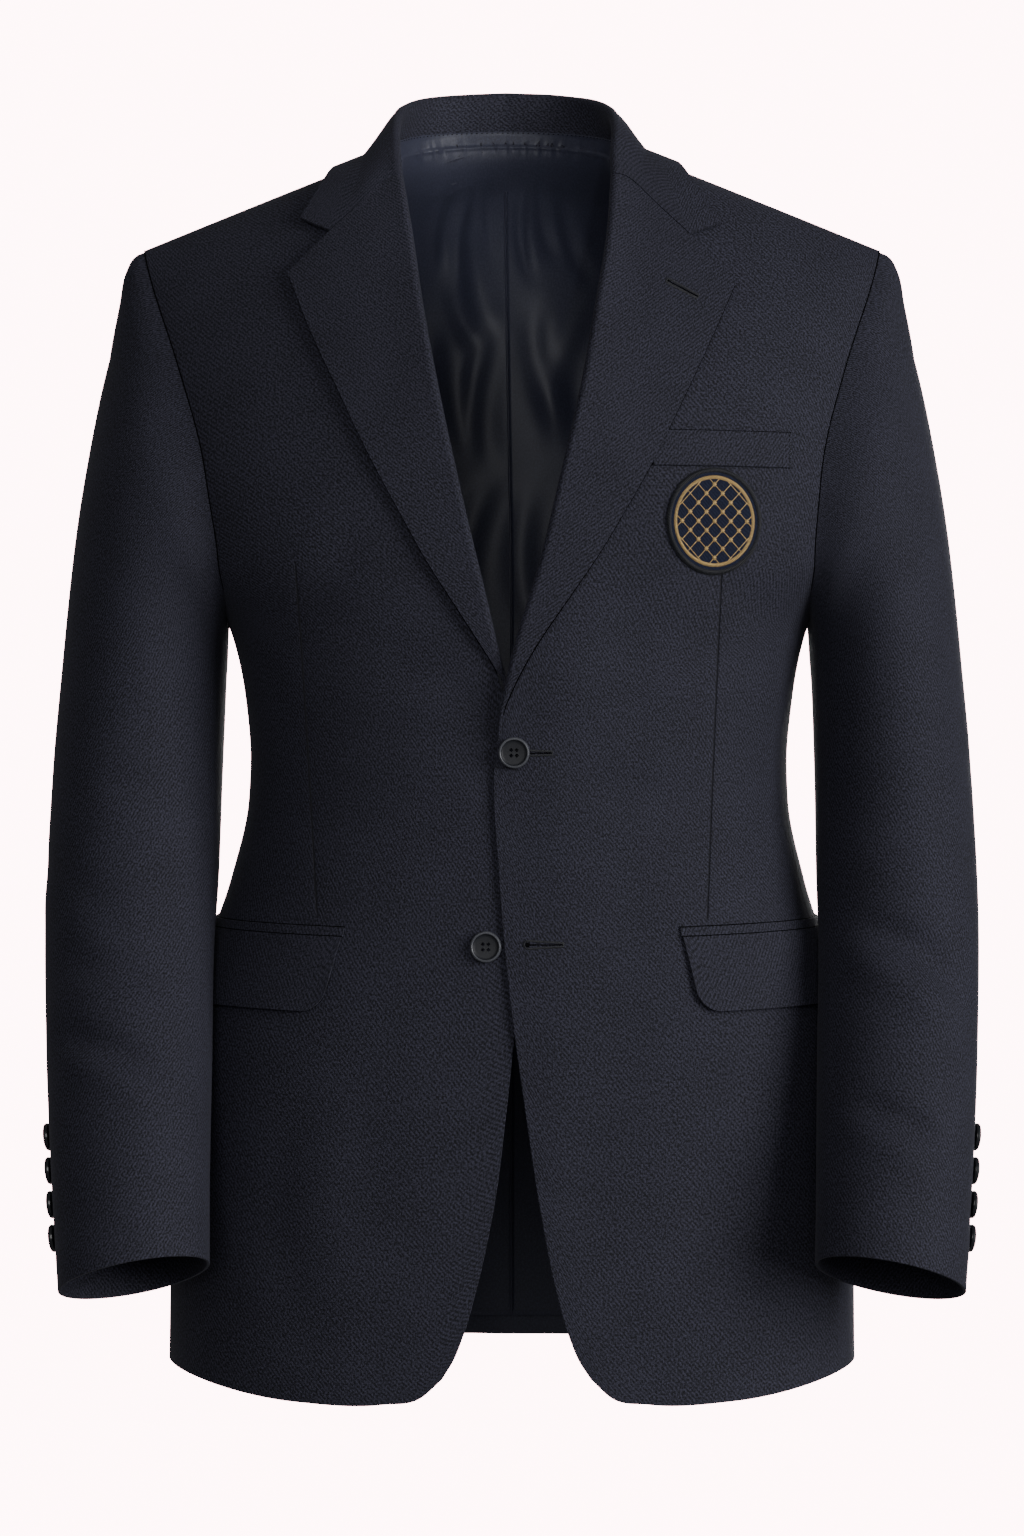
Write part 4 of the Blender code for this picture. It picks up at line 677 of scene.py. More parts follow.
def flat_places(points):
    """Flat coordinates of a grid of points: running lengths across and along, in metres."""
    across = np.linalg.norm(np.diff(points, axis=1), axis=2)
    along = np.linalg.norm(np.diff(points, axis=0), axis=2)
    u = np.concatenate([np.zeros((len(points), 1)), np.cumsum(across, axis=1)], axis=1)
    v = np.concatenate([np.zeros((1, points.shape[1])), np.cumsum(along, axis=0)], axis=0)
    return np.stack([u - u.mean(axis=1, keepdims=True), v], axis=-1)


def grid_area(points):
    one = points[1:, 1:] - points[:-1, :-1]
    two = points[1:, :-1] - points[:-1, 1:]
    return 0.5 * np.linalg.norm(np.cross(one, two), axis=2).sum()


def cloth_wall(name, outer, inner, looks, back_is_first=None, edge=0.0005, grain=None):
    """Closed wall between two grids; looks are the materials of its face and its back."""
    rows, columns = outer.shape[0] - 1, outer.shape[1] - 1
    flat = (flat_places(outer) if grain is None else grain).reshape(-1, 2)
    bm = bmesh.new()
    bmesh.ops.create_grid(bm, x_segments=columns, y_segments=rows, size=0.5)
    uv = bm.loops.layers.uv.new("cloth")
    for face in bm.faces:
        for loop in face.loops:
            loop[uv].uv = flat[loop.vert.index]
    where = {}
    for vertex, place, inside in zip(bm.verts, outer.reshape(-1, 3), inner.reshape(-1, 3)):
        vertex.co = place
        where[vertex.co.to_tuple(9)] = inside
    copied = bmesh.ops.extrude_face_region(bm, geom=list(bm.faces), use_keep_orig=True)["geom"]
    for vertex in (item for item in copied if isinstance(item, bmesh.types.BMVert)):
        vertex.co = where[vertex.co.to_tuple(9)]
    backs = [item for item in copied if isinstance(item, bmesh.types.BMFace)]
    first = np.zeros(rows * columns, bool) if back_is_first is None else back_is_first.ravel()
    for face, is_first in zip(backs, first):
        face.material_index = 0 if is_first else 1
    bmesh.ops.recalc_face_normals(bm, faces=bm.faces)
    if bm.calc_volume(signed=True) < 0:
        bmesh.ops.reverse_faces(bm, faces=bm.faces)
    mesh = as_mesh(bm, name)
    for look in looks:
        mesh.materials.append(look)
    mesh.shade_smooth()
    piece = put(name, mesh)
    if edge:
        bevel = piece.modifiers.new("turned edge", "BEVEL")
        bevel.width, bevel.segments, bevel.harden_normals = edge, 2, True
        bevel.limit_method, bevel.angle_limit = "ANGLE", math.radians(EDGE_ANGLE)
    return piece


NARROWEST_SHEET = 0.0105  # a jet's strip is counted with the part that is turned in
LEAST_FILL, MOST_FILL = 0.3, 0.999  # area as a share of the flat sides


def both_faces(point, side, place, face=0.0, back=-WOOL_WALL):
    """The two grids of a wall, the same places moved out by two amounts."""
    return [point(side, place, out) for out in (face, back)]


def dress(node, faces, held, rests_on, slot="wool", looks=(WOOL, SATIN), name=None, **wall):
    """Wall that rides on the body, stands for a solid and says what sheet it was cut from."""
    outer, inner = faces
    piece = cloth_wall(name or f"cloth_{node}", outer, inner, looks, **wall)
    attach(piece, "root")
    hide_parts(node)
    flat = flat_places(outer)
    width = float(np.ptp(flat[..., 0], axis=1).max())
    length = max(float(flat[-1, :, 1].max()), NARROWEST_SHEET)
    full = width * length
    area = min(max(float(grid_area(outer)), LEAST_FILL * full), MOST_FILL * full)
    print(f"{piece.name}: cut {width:.3f} x {length:.3f} m, {area:.4f} m2")


# %% [markdown]
# ## Creases
#
# Cloth that fits well has few folds, and each is soft: a shallow trough beside a low ridge, deep in
# its middle and dying away at its ends. Each one is a row in a table: where it starts and ends, its
# width and its depth. The hidden sides get similar ones.

# %% Creases
CREASE_BOW = 0.08
CREASE_START, CREASE_END = (-0.12, 0.38), (0.62, 1.12)  # shares of its length where it fades
RIDGE_ASIDE, RIDGE_WIDTH, RIDGE_HEIGHT = 1.9, 1.2, 0.55  # in widths and depths of the trough


def creases(x, y, rows):
    """Depth of all troughs in a table at places (x, y), each a trough with a ridge beside it."""
    depth = np.zeros(np.broadcast(x, y).shape)
    for x0, y0, x1, y1, width, deep in rows:
        dx, dy = x1 - x0, y1 - y0
        length = math.hypot(dx, dy)
        along = ((x - x0) * dx + (y - y0) * dy) / length**2
        aside = ((y - y0) * dx - (x - x0) * dy) / length
        aside = aside + CREASE_BOW * length * np.sin(math.pi * along.clip(0, 1))
        fade = ease(along, *CREASE_START) * (1 - ease(along, *CREASE_END))
        trough = np.exp(-((aside / width) ** 2))
        ridge = np.exp(-(((aside - RIDGE_ASIDE * width) / (RIDGE_WIDTH * width)) ** 2))
        depth += deep * fade * (RIDGE_HEIGHT * ridge - trough)
    return depth


FRONT_CREASES = (  # across, height, to across, height, width, depth
    (0.020, -0.372, 0.100, -0.345, 0.016, 0.0013),
    (0.022, -0.384, 0.120, -0.408, 0.016, 0.0013),
    (0.165, -0.300, 0.105, -0.262, 0.012, 0.0012),
    (0.060, -0.560, 0.052, -0.700, 0.016, 0.0008),
    (0.130, -0.560, 0.140, -0.720, 0.018, 0.0012),
    (-0.012, -0.350, -0.095, -0.318, 0.016, 0.0018),
    (-0.014, -0.372, -0.110, -0.372, 0.015, 0.0015),
    (-0.150, -0.310, -0.090, -0.235, 0.013, 0.0012),
    (-0.070, -0.540, -0.080, -0.690, 0.017, 0.0008),
    (-0.135, -0.580, -0.128, -0.735, 0.016, 0.0012),
)
BACK_CREASES = (
    (0.008, -0.350, 0.125, -0.332, 0.013, 0.0018),
    (0.018, -0.405, 0.130, -0.430, 0.014, 0.0016),
    (0.185, -0.215, 0.115, -0.125, 0.014, 0.0020),
    (0.160, -0.292, 0.095, -0.255, 0.012, 0.0014),
    (0.055, -0.060, 0.120, -0.092, 0.016, 0.0010),
    (-0.012, -0.338, -0.115, -0.330, 0.012, 0.0016),
    (-0.020, -0.388, -0.135, -0.405, 0.015, 0.0018),
    (-0.187, -0.200, -0.120, -0.118, 0.013, 0.0018),
    (-0.158, -0.305, -0.100, -0.262, 0.013, 0.0013),
    (-0.045, -0.520, -0.060, -0.690, 0.018, 0.0010),
)
SLEEVE_CREASES = {  # arc from the outside, distance down the sleeve, to the same, width, depth
    -1: (
        (0.020, 0.492, 0.118, 0.528, 0.009, 0.0046),
        (0.030, 0.452, 0.122, 0.470, 0.010, 0.0030),
        (0.000, 0.392, 0.090, 0.420, 0.011, 0.0014),
        (0.060, 0.330, 0.135, 0.352, 0.011, 0.0014),
        (0.010, 0.610, 0.095, 0.632, 0.011, 0.0010),
        (-0.100, 0.330, -0.010, 0.350, 0.012, 0.0018),
        (-0.120, 0.400, -0.030, 0.372, 0.012, 0.0016),
    ),
    1: (
        (0.030, 0.478, 0.130, 0.420, 0.012, 0.0066),
        (0.055, 0.570, 0.130, 0.545, 0.010, 0.0044),
        (0.010, 0.330, 0.130, 0.300, 0.011, 0.0018),
        (0.020, 0.388, 0.110, 0.370, 0.010, 0.0012),
        (0.000, 0.600, 0.060, 0.615, 0.011, 0.0010),
        (-0.110, 0.340, -0.015, 0.362, 0.013, 0.0018),
        (-0.100, 0.425, -0.040, 0.392, 0.012, 0.0014),
    ),
}
print("creases:", len(FRONT_CREASES) + len(BACK_CREASES) + len(SLEEVE_CREASES[1]) * 2)

# %% [markdown]
# ## Fronts, side bodies and backs
#
# The body of the jacket is cut in three pieces a side. Each is blended between its four real edges:
# the free edge with its cutaway, the seam under the arm and round the armhole, the hem and the
# shoulder seam. Rows are spread evenly over the real cloth.

# %% Panels between their edges
FINE = 8
FRONT_ARM_ROWS = SIDE_START // ARM_STEP
BACK_ARM_ROWS = (360 - SIDE_END) // ARM_STEP
BACK_NECK_COLUMNS, BACK_SHOULDER_COLUMNS = 6, 5
BACK_FINE = 6
SIDE_COLUMNS = 24
GIRTH_REACH = 0.25  # metres of cloth from the side to the middle
GIRTH_GAP = -0.0006  # the edges of a seam pass each other a little, so no light comes through
ARMHOLE_BOTTOM = -0.300
# Share of the way to the seam under the arm, and rise over the hem.
HEM_CORNER = ((0.07, 0.0050), (0.20, 0.0005), (0.50, 0.0000))


def coons(left, right, bottom, top):
    """Grid blended between four edges; rows run from bottom to top."""
    v = np.linspace(0, 1, len(left))[:, None, None]
    u = np.linspace(0, 1, len(bottom))[None, :, None]
    across = (1 - u) * left[:, None] + u * right[:, None]
    up = (1 - v) * bottom[None] + v * top[None]
    corners = (1 - u) * (1 - v) * left[0] + u * (1 - v) * right[0]
    corners = corners + (1 - u) * v * left[-1] + u * v * right[-1]
    return across + up - corners


def body_panel(side, left, right, bottom, top, shares):
    """Places on the form for a panel whose rows are evenly spread on the real cloth."""
    domain = coons(left, right, bottom, top)
    points = body_point(side, domain[..., 0], domain[..., 1])
    ends = [lengths_along(points[:, c]) for c in (0, -1)]
    result = np.empty_like(domain)
    for c in range(len(bottom)):
        target = (1 - shares[c]) * ends[0] + shares[c] * ends[1]
        at = lengths_along(points[:, c])
        for k in range(2):
            result[:, c, k] = np.interp(target, at, domain[:, c, k])
    return result


def row_steps(rows):
    return np.linspace(0, rows, rows * FINE + 1)


def armhole(angle):
    """Domain place of the armhole seam at an angle from the shoulder tip over the front."""
    places = []
    for degrees, across, height in ARMHOLE:
        girth = 0.0
        if across is not None:
            girth = float(on_form(1, across + read_table(BODY_FORM, height, 4), height)[0])
        places.append((girth if degrees < 180 else -girth, height))
    angles, places = np.array([row[0] for row in ARMHOLE], float), np.array(places)
    return cubic(angles, places, np.gradient(places, angles, axis=0), np.asarray(angle, float))


def hem_height(girth):
    """The fronts hang a little lower than the back."""
    return HEM - FRONT_DROP * ease(girth, *HEM_LEVEL)


FRONT_SEAM_HEM, BACK_SEAM_HEM = 0.22, -0.22
SEAM_BEND = 1.5
NECK_BEND, NECK_BEND_OUT = 0.45, (0.0012, -0.0008)
EDGE_STEPS = 900
STEP_HEIGHT = 0.001
HEM_LEVEL = (0.05, 0.60)  # girths between which the hem drops
ROLL_STEPS, ROLL_TOP = 32, (0.6, 0.9)
TOP_CROWDING = 0.4
FRONT_SEAM_TOP = armhole(SIDE_START)
BACK_SEAM_TOP = armhole(SIDE_END)


def side_edge(row, behind):
    """Edge of a front or a back under the arm and round the armhole, by row."""
    row = np.asarray(row, float)
    hem, top = (BACK_SEAM_HEM, BACK_SEAM_TOP) if behind else (FRONT_SEAM_HEM, FRONT_SEAM_TOP)
    share = np.clip(row, 0, SEAM_ROWS) / SEAM_ROWS
    girth = hem + (top[0] - hem) * share**SEAM_BEND
    height = hem_height(hem) + (top[1] - hem_height(hem)) * share
    turned = ARM_STEP * np.clip(row - SEAM_ROWS, 0, None)
    angle = SIDE_END + turned if behind else SIDE_START - turned
    seam = np.stack([girth, height], axis=-1)
    return np.where(row[..., None] > SEAM_ROWS, armhole(angle.clip(0, 360)), seam)


def hem_between(left, right, shares):
    """Hem from the foot of one edge to the foot of the other."""
    girth = left[0, 0] + (right[0, 0] - left[0, 0]) * shares
    return np.stack([girth, hem_height(girth)], axis=-1)


def shoulder_seam(side, shares, behind):
    """The ridge from the neck point out to the shoulder tip."""
    neck = NECK_HALF_WIDTH + side * NECK_CENTRE
    out = neck + (SHOULDER_TIP - neck) * np.asarray(shares, float)
    height = ridge_height(out)
    girth = girth_at(out / read_table(BODY_FORM, height, 1))
    return np.stack([np.where(behind, -girth, girth), height], axis=-1)


def inset_roll(side):
    """Cut edge of the front along the roll, a little outside the visible fold."""
    shares = np.linspace(0, 1, ROLL_STEPS + 1)
    roll = curve(ROLL[side], shares)
    along = np.gradient(roll, axis=0)
    outward = unit(np.stack([along[:, 1], -along[:, 0]], axis=-1)) * side
    inset = ROLL_INSET + ROLL_INSET_TOP * ease(shares, *ROLL_TOP)
    if side > 0:
        inset = TAIL_INSET + (inset - TAIL_INSET) * ease(shares, 0.0, TAIL_REACH)
    return roll + outward * inset[:, None]


def front_free_edge(side):
    """The front's free edge seen from the front: cutaway, break, roll line, neck seam."""
    roll = inset_roll(side)
    neck = body_point(side, *shoulder_seam(side, [0.0], False)[0])[[0, 2]]
    bend = NECK_BEND * neck + (1 - NECK_BEND) * roll[-1] + NECK_BEND_OUT * np.array([side, 1])
    return np.concatenate([np.array(FRONT_EDGE[side]), roll, [bend], [neck]])


def front_edge_places(side, rows_below, rows_above):
    """Fine places of the free edge, with one short row where it steps in under the lapel."""
    traced = curve(front_free_edge(side), np.linspace(0, 1, EDGE_STEPS))
    step = [FRONT_EDGE[side][-1][1], inset_roll(side)[0][1] + STEP_HEIGHT]
    start, end = np.interp(step, traced[:, 1], lengths_along(traced))
    low = np.linspace(0, start, rows_below * FINE + 1)
    middle = np.linspace(start, end, FINE + 1)[1:]
    share = np.linspace(0, 1, (rows_above - 1) * FINE + 1)[1:]
    high = end + (1 - end) * (share + TOP_CROWDING / math.pi * np.sin(math.pi * share))
    seen = share_points(traced, np.concatenate([low, middle, high]))
    places = on_form(side, seen[:, 0], seen[:, 1])
    places[-1] = shoulder_seam(side, [0.0], False)[0]
    return places


def front_hem(start, end, shares):
    """The front's hem from its rounded corner to the seam under the arm."""
    line = [start]
    for share, rise in HEM_CORNER:
        girth = start[0] + (end[0] - start[0]) * share
        line.append((girth, hem_height(girth) + rise))
    return curve([*line, end], shares)


def front_places(side, shares):
    left = front_edge_places(side, SEAM_ROWS, FRONT_ARM_ROWS)
    right = side_edge(row_steps(SEAM_ROWS + FRONT_ARM_ROWS), False)
    right[: SEAM_ROWS * FINE + 1, 0] += GIRTH_GAP
    bottom = front_hem(left[0], right[0], shares)
    return body_panel(side, left, right, bottom, shoulder_seam(side, shares, False), shares)


def panel_grain(side, places):
    """Flat coordinates of a panel's weave: girth across, and running length on the form up."""
    along = flat_places(body_point(side, places[..., 0], places[..., 1]))[..., 1]
    return np.stack([places[..., 0] * side * GIRTH_REACH, along], axis=-1)


# %% Fronts
FRONT_COLUMNS = 96
FACING_SHARE, FACING_ROWS = 0.36, 12  # the inside of the front edge and of the hem is wool


def panel_point(side, place, out, rows=FRONT_CREASES):
    """Cloth of a panel with its own creases."""
    seen = body_point(side, place[..., 0], place[..., 1])
    return cloth_point(side, place, out + creases(seen[..., 0], seen[..., 2], rows))


def make_front(side, word):
    shares = np.linspace(0, 1, FRONT_COLUMNS + 1)
    places = front_places(side, shares)
    facing = np.zeros((len(places) - 1, FRONT_COLUMNS), bool)
    facing[:, shares[1:] < FACING_SHARE] = True
    facing[:FACING_ROWS] = True
    dress(f"front_{word}", both_faces(panel_point, side, places), "hung", [f"back_{word}"],
          looks=(FRONT_WOOL[side], SATIN), back_is_first=facing, grain=panel_grain(side, places))


for _side, _word in SIDES:
    make_front(_side, _word)

# %% Side bodies


def make_side(side, word):
    left, right = (side_edge(row_steps(SEAM_ROWS), behind) for behind in (False, True))
    left[:, 0] -= GIRTH_GAP
    right[:, 0] += GIRTH_GAP
    shares = np.linspace(0, 1, SIDE_COLUMNS + 1)
    top = armhole(SIDE_START + (SIDE_END - SIDE_START) * shares)
    top[0], top[-1] = left[-1], right[-1]
    places = body_panel(side, left, right, hem_between(left, right, shares), top, shares)
    dress(f"side_{word}", both_faces(cloth_point, side, places), "hung", [f"back_{word}"])


for _side, _word in SIDES:
    make_side(_side, _word)

# %% Backs


def back_height(across, deep):
    """Height of the back's form over a place in plan, close to the neck."""
    half_width, depth = (read_table(BODY_FORM, 0.0, column) for column in (1, 3))
    share = np.clip(deep / (depth * ring_depth(np.abs(across) / half_width)), 0, 1)
    return ridge_height(across) - dome_drop(share, *BACK_DOME)


def neck_arc(side, turn, half_width=NECK_HALF_WIDTH, depth=NECK_DEPTH, power=2.0):
    """Arc in plan round the back of the neck: turn 0 is the shoulder seam, 90 the centre back."""
    turn = np.radians(np.asarray(turn, float))
    across = NECK_CENTRE + side * half_width * np.cos(turn).clip(0) ** (2 / power)
    deep = depth * np.sin(turn) ** (2 / power)
    return np.stack([across, deep, back_height(across, deep)], axis=-1)


def centre_line(height):
    """Across of the middle of the back."""
    return NECK_CENTRE * ease(height, CENTRE_SHIFT_FROM, 0.0)


def centre_back(side, height):
    """Across of the centre back seam, and of the under half of the vent."""
    seam = centre_line(height) + side * 0.5 * SEAM_GAP
    if side > 0:
        return seam
    return seam + VENT_LAP * (1 - ease(height, VENT_TOP - VENT_STEP, VENT_TOP))


def back_top(side, fine):
    """Neck seam from the centre back to the shoulder, then the shoulder seam."""
    neck = neck_arc(side, np.linspace(90, 0, BACK_NECK_COLUMNS * fine + 1))
    places = on_form(side, neck[:-1, 0], neck[:-1, 2], behind=True)
    shares = np.linspace(0, 1, BACK_SHOULDER_COLUMNS * fine + 1)
    return np.concatenate([places, shoulder_seam(side, shares, True)])


def make_back(side, word):
    top = back_top(side, BACK_FINE)
    shares = np.linspace(0, 1, len(top))
    height = np.concatenate([
        np.linspace(hem_height(-1.0), ARMHOLE_BOTTOM, SEAM_ROWS * FINE + 1),
        np.linspace(ARMHOLE_BOTTOM, top[0, 1], BACK_ARM_ROWS * FINE + 1)[1:],
    ])
    left = on_form(side, centre_back(side, height), height, behind=True)
    left[-1] = top[0]
    right = side_edge(row_steps(SEAM_ROWS + BACK_ARM_ROWS), True)
    right[: SEAM_ROWS * FINE + 1, 0] -= GIRTH_GAP
    places = body_panel(side, left, right, hem_between(left, right, shares), top, shares)
    faces = both_faces(partial(panel_point, rows=BACK_CREASES), side, places)
    dress(f"back_{word}", faces, "hung", [f"front_{word}"], grain=panel_grain(side, places))


for _side, _word in SIDES:
    make_back(_side, _word)

# %% [markdown]
# ## Sleeves
#
# A tailored sleeve has two pieces, a wide top sleeve and a narrow under sleeve. Both lie on one
# tube that starts at the armhole seam, rolls over the shoulder's padding and swings forwards at the
# elbow, where the cloth breaks into a few soft folds.

# %% Sleeve tube
_sleeve = np.array(SLEEVE_FORM)
SLEEVE_AT = lengths_along(_sleeve[:, 2:4])
SLEEVE_TABLE = np.column_stack([SLEEVE_AT, _sleeve])
SLEEVE_LENGTH = lengths_of(_sleeve[:, 2:4]).sum()
SEAM_FADE = 0.30
SLEEVE_FREE = (0.25, 0.45)
SLEEVE_ARC = 0.055
SLEEVE_ROWS, SLEEVE_CROWDING = 149, 1.15
TOP_COLUMNS, UNDER_COLUMNS = 90, 66
SEAM_TURN = (0.15, 1.0)  # shares where the back seam swings to the cuff's
FOLDS_FROM = (0.05, 0.30)
CUFF_TURNED = 0.94
SLEEVE_EDGE = 0.0003
BODY_CLEAR = 0.0085
CLEAR_ROUNDING = 0.0012
SLEEVE_SEAM_ANGLE = 0.02
SEAM_LAP = 0.0004  # the sleeve's end is sewn a little inside the armhole's edge


def sleeve_ring(side, angle, at):
    """Point of the sleeve's tube at an angle (0 outside, 90 front) and a share of its length."""
    turn = np.radians(angle)
    inner_x, inner_z, outer_x, outer_z, middle_y, depth = (
        read_table(SLEEVE_TABLE, at, column) for column in range(1, 7)
    )
    middle_x, middle_z = (inner_x + outer_x) / 2, (inner_z + outer_z) / 2
    aside = (np.mod(angle + 180, 360) - 180) / SLEEVE_HEAD_REACH
    head = read_table(SLEEVE_HEAD, at, 1) * np.exp(-(aside**2))
    x = middle_x + (outer_x - inner_x) / 2 * np.cos(turn) + head
    z = middle_z + (outer_z - inner_z) / 2 * np.cos(turn)
    y = middle_y - depth * np.sin(turn)
    lean = read_table(BODY_FORM, z, 4) * (1 - np.cos(turn)) / 2
    z = z + CUFF_RISE * ease(at, CUFF_RISE_FROM, 1.0) * np.sin(turn)
    return np.stack([side * x + lean, y, z], axis=-1)


def beside_body(side, point, clear):
    """Sleeve points pushed outwards where they would come closer to the body than clear."""
    height, deep = point[..., 2], point[..., 1]
    share = np.clip(np.abs(deep) / form_depth(height, deep > 0), 0, 1)
    wide = read_table(BODY_FORM, height, 1) * ring_depth(share)
    out = side * (point[..., 0] - read_table(BODY_FORM, height, 4))
    short = wide + clear - out
    push = 0.5 * (short + np.hypot(short, CLEAR_ROUNDING))
    moved = point.copy()
    moved[..., 0] += side * push
    return moved


def sleeve_point(side, angle, at, out=0.0):
    """Point of the sleeve's cloth: the tube, pulled to the armhole seam at its top."""
    angle, at, out = as_floats(angle, at, out)
    seam = cloth_point(side, armhole(np.mod(angle, 360)))
    near = np.clip(1 - at / SEAM_FADE, 0, 1) ** 2
    first = sleeve_ring(side, angle, np.zeros_like(at))
    pull = (seam - first - np.array([side * SEAM_LAP, 0, 0])) * near[..., None]
    round_it = sleeve_ring(side, angle + 1, at) - sleeve_ring(side, angle - 1, at)
    low, high = (sleeve_ring(side, angle, np.clip(at + step, 0, 1)) for step in (0.01, -0.01))
    normal = side * unit(np.cross(round_it, low - high))
    point = sleeve_ring(side, angle, at) + pull + normal * out[..., None]
    free = ease(at, *SLEEVE_FREE)[..., None]
    return point + free * (beside_body(side, point, BODY_CLEAR - out) - point)


def folded_sleeve_point(side, angle, at, out):
    """Sleeve cloth with its creases; they are placed by arc length and distance down."""
    arc = SLEEVE_ARC * np.radians(angle)
    fold = creases(arc, at * SLEEVE_LENGTH, SLEEVE_CREASES[side])
    return sleeve_point(side, angle, at, out + fold * ease(at, *FOLDS_FROM))


def make_sleeve(side, word):
    at = (np.linspace(0, 1, SLEEVE_ROWS + 1) ** SLEEVE_CROWDING)[::-1, None]
    front = np.full_like(at, SLEEVE_FRONT_SEAM)
    back = SLEEVE_BACK_SEAM + ease(at, *SEAM_TURN) * (CUFF_BACK_SEAM - SLEEVE_BACK_SEAM)
    pieces = (("top_sleeve", back - 360, front, TOP_COLUMNS),
              ("under_sleeve", front, back, UNDER_COLUMNS))
    for kind, start, end, columns in pieces:
        first, last = start + SLEEVE_SEAM_ANGLE, end - SLEEVE_SEAM_ANGLE
        angle = first + (last - first) * np.linspace(0, 1, columns + 1)
        share = np.broadcast_to(at, angle.shape)
        faces = [folded_sleeve_point(side, angle, share, out) for out in (0.0, -WOOL_WALL)]
        turned_in = np.zeros((SLEEVE_ROWS, columns), bool)
        turned_in[at[1:, 0] > CUFF_TURNED] = True
        dress(f"{kind}_{word}", faces, "hung", [f"front_{word}", f"back_{word}"],
              back_is_first=turned_in, edge=SLEEVE_EDGE)


for _side, _word in SIDES:
    make_sleeve(_side, _word)

# %% [markdown]
# ## Lapels and collar
#
# The lapel is the front's own cloth, turned out along the roll line and left soft there: pressed
# flat it would look dead. Each row of it is one section, a half circle round the roll and then a
# leaf that settles onto the chest. The collar does the same round the neck, with a stand inside.

# %% Turned sections
CURL_STEPS = 24
LAPEL_ROWS = 78
GORGE_SHIFT = 0.00045
TURNED_EDGE = 0.0007


def over_front(side, seen, out):
    """Points over the front's cloth for places seen from the front."""
    return cloth_point(side, on_form(side, seen[..., 0], seen[..., 1]), out)


def half_turn(centre, towards, outward, radius):
    """Dense half circle: from below its centre, round the fold, to above it."""
    turn = np.radians(np.linspace(-90, 90, CURL_STEPS + 1))[:, None]
    return centre + radius * (np.cos(turn) * towards + np.sin(turn) * outward)


def roll_radius(share):
    """Radius of the roll: tight at the break and soft above it."""
    return BREAK_RADIUS + (ROLL_RADIUS - BREAK_RADIUS) * ease(share, 0.0, BREAK_REACH)


def leaf_height(share, distance):
    """Height of a leaf's middle over the front, settling away from the roll."""
    rest = BREAK_HEIGHT + (LEAF_HEIGHT - BREAK_HEIGHT) * ease(share, 0.0, BREAK_REACH)
    top = 2 * roll_radius(share) - WOOL_WALL / 2
    return rest + (top - rest) * np.exp(-distance / LEAF_SPRING_REACH)


def roll_frame(side, share):
    """Fold point on the front, direction towards the centre, and outward direction."""
    near = np.clip(np.array([share - 0.01, share + 0.01]), 0, 1)
    seen = curve(ROLL[side], np.concatenate([[share], near]))
    point, low, high = over_front(side, seen, 0.0)
    outward = body_normal(side, *on_form(side, *seen[0]))
    towards = unit(np.cross(unit(high - low), outward)) * -side
    return point, towards, outward


def roll_section(side, share, leaf_seen):
    """Dense section of a leaf that turns out at the roll and then follows the front."""
    point, towards, outward = roll_frame(side, share)
    radius = roll_radius(share)
    centre = point - towards * (radius + TURNED_WALL / 2) + outward * (radius - WOOL_WALL / 2)
    curl = half_turn(centre, towards, outward, radius)
    first = curl[-1][[0, 2]]
    leaf_seen = leaf_seen + (first - leaf_seen[0]) * np.linspace(1, 0, len(leaf_seen))[:, None] ** 2
    distance = np.linalg.norm(leaf_seen - first, axis=1)
    leaf = over_front(side, leaf_seen, leaf_height(share, distance))
    leaf = leaf + (curl[-1] - leaf[0]) * np.exp(-distance / CURL_BLEND)[:, None]
    return np.concatenate([curl, leaf[1:]])


def turned_points(sections, side, ends):
    """Face and back of a turned piece from its dense sections."""
    points = np.array(sections)
    run = np.gradient(points, axis=1)
    along = np.gradient(points, axis=0)
    for row, direction in ends.items():
        along[row] = direction
    normal = unit(np.cross(run, along)) * side
    half = TURNED_WALL / 2
    return points + half * normal, points - half * normal


def roll_along(side, share):
    """Upward direction of the roll line at a share of its length."""
    low, high = over_front(side, curve(ROLL[side], np.array([share - 0.02, share])), 0.0)
    return unit(high - low)


def gorge_to(side, point):
    """Gorge seam from the roll to the notch and then straight to a point, seen from the front."""
    gorge = curve(GORGE[side], np.linspace(0, 1, 5 * FINE + 1))
    share = np.linspace(0, 1, 2 * FINE + 1)[1:, None]
    return np.concatenate([gorge, gorge[-1] + (np.array(point) - gorge[-1]) * share])


# %% Lapels


def make_lapel(side, word):
    shares = np.linspace(0, 1, LAPEL_ROWS + 1)
    roll, edge = curve(ROLL[side], shares), curve(LAPEL_EDGE[side], shares)
    top = gorge_to(side, LAPEL_EDGE[side][-1])
    bottom = roll[0] + (edge[0] - roll[0]) * lengths_along(top)[:, None]
    leaf = coons(roll, edge, bottom, top)
    sections = [roll_section(side, share, seen) for share, seen in zip(shares, leaf)]
    sections[-1] = sections[-1] - roll_along(side, 1.0) * GORGE_SHIFT
    ends = {0: roll_along(side, 0.02), -1: roll_along(side, 1.0)}
    dress(f"lapel_{word}", turned_points(sections, side, ends), "folded", [f"front_{word}"],
          looks=(WOOL, WOOL), edge=TURNED_EDGE)


for _side, _word in SIDES:
    make_lapel(_side, _word)

# %% Collar
COLLAR_FRONT_ROWS = 4
STAND_CLEAR, STAND_STEPS = 0.0002, 16
STAND_LEAN = 0.6  # share of the roll's radius that the fold gives up towards the neck's back
COLLAR_EDGE_BEND = (0.0008, 0.0004)
COLLAR_FINE = 16


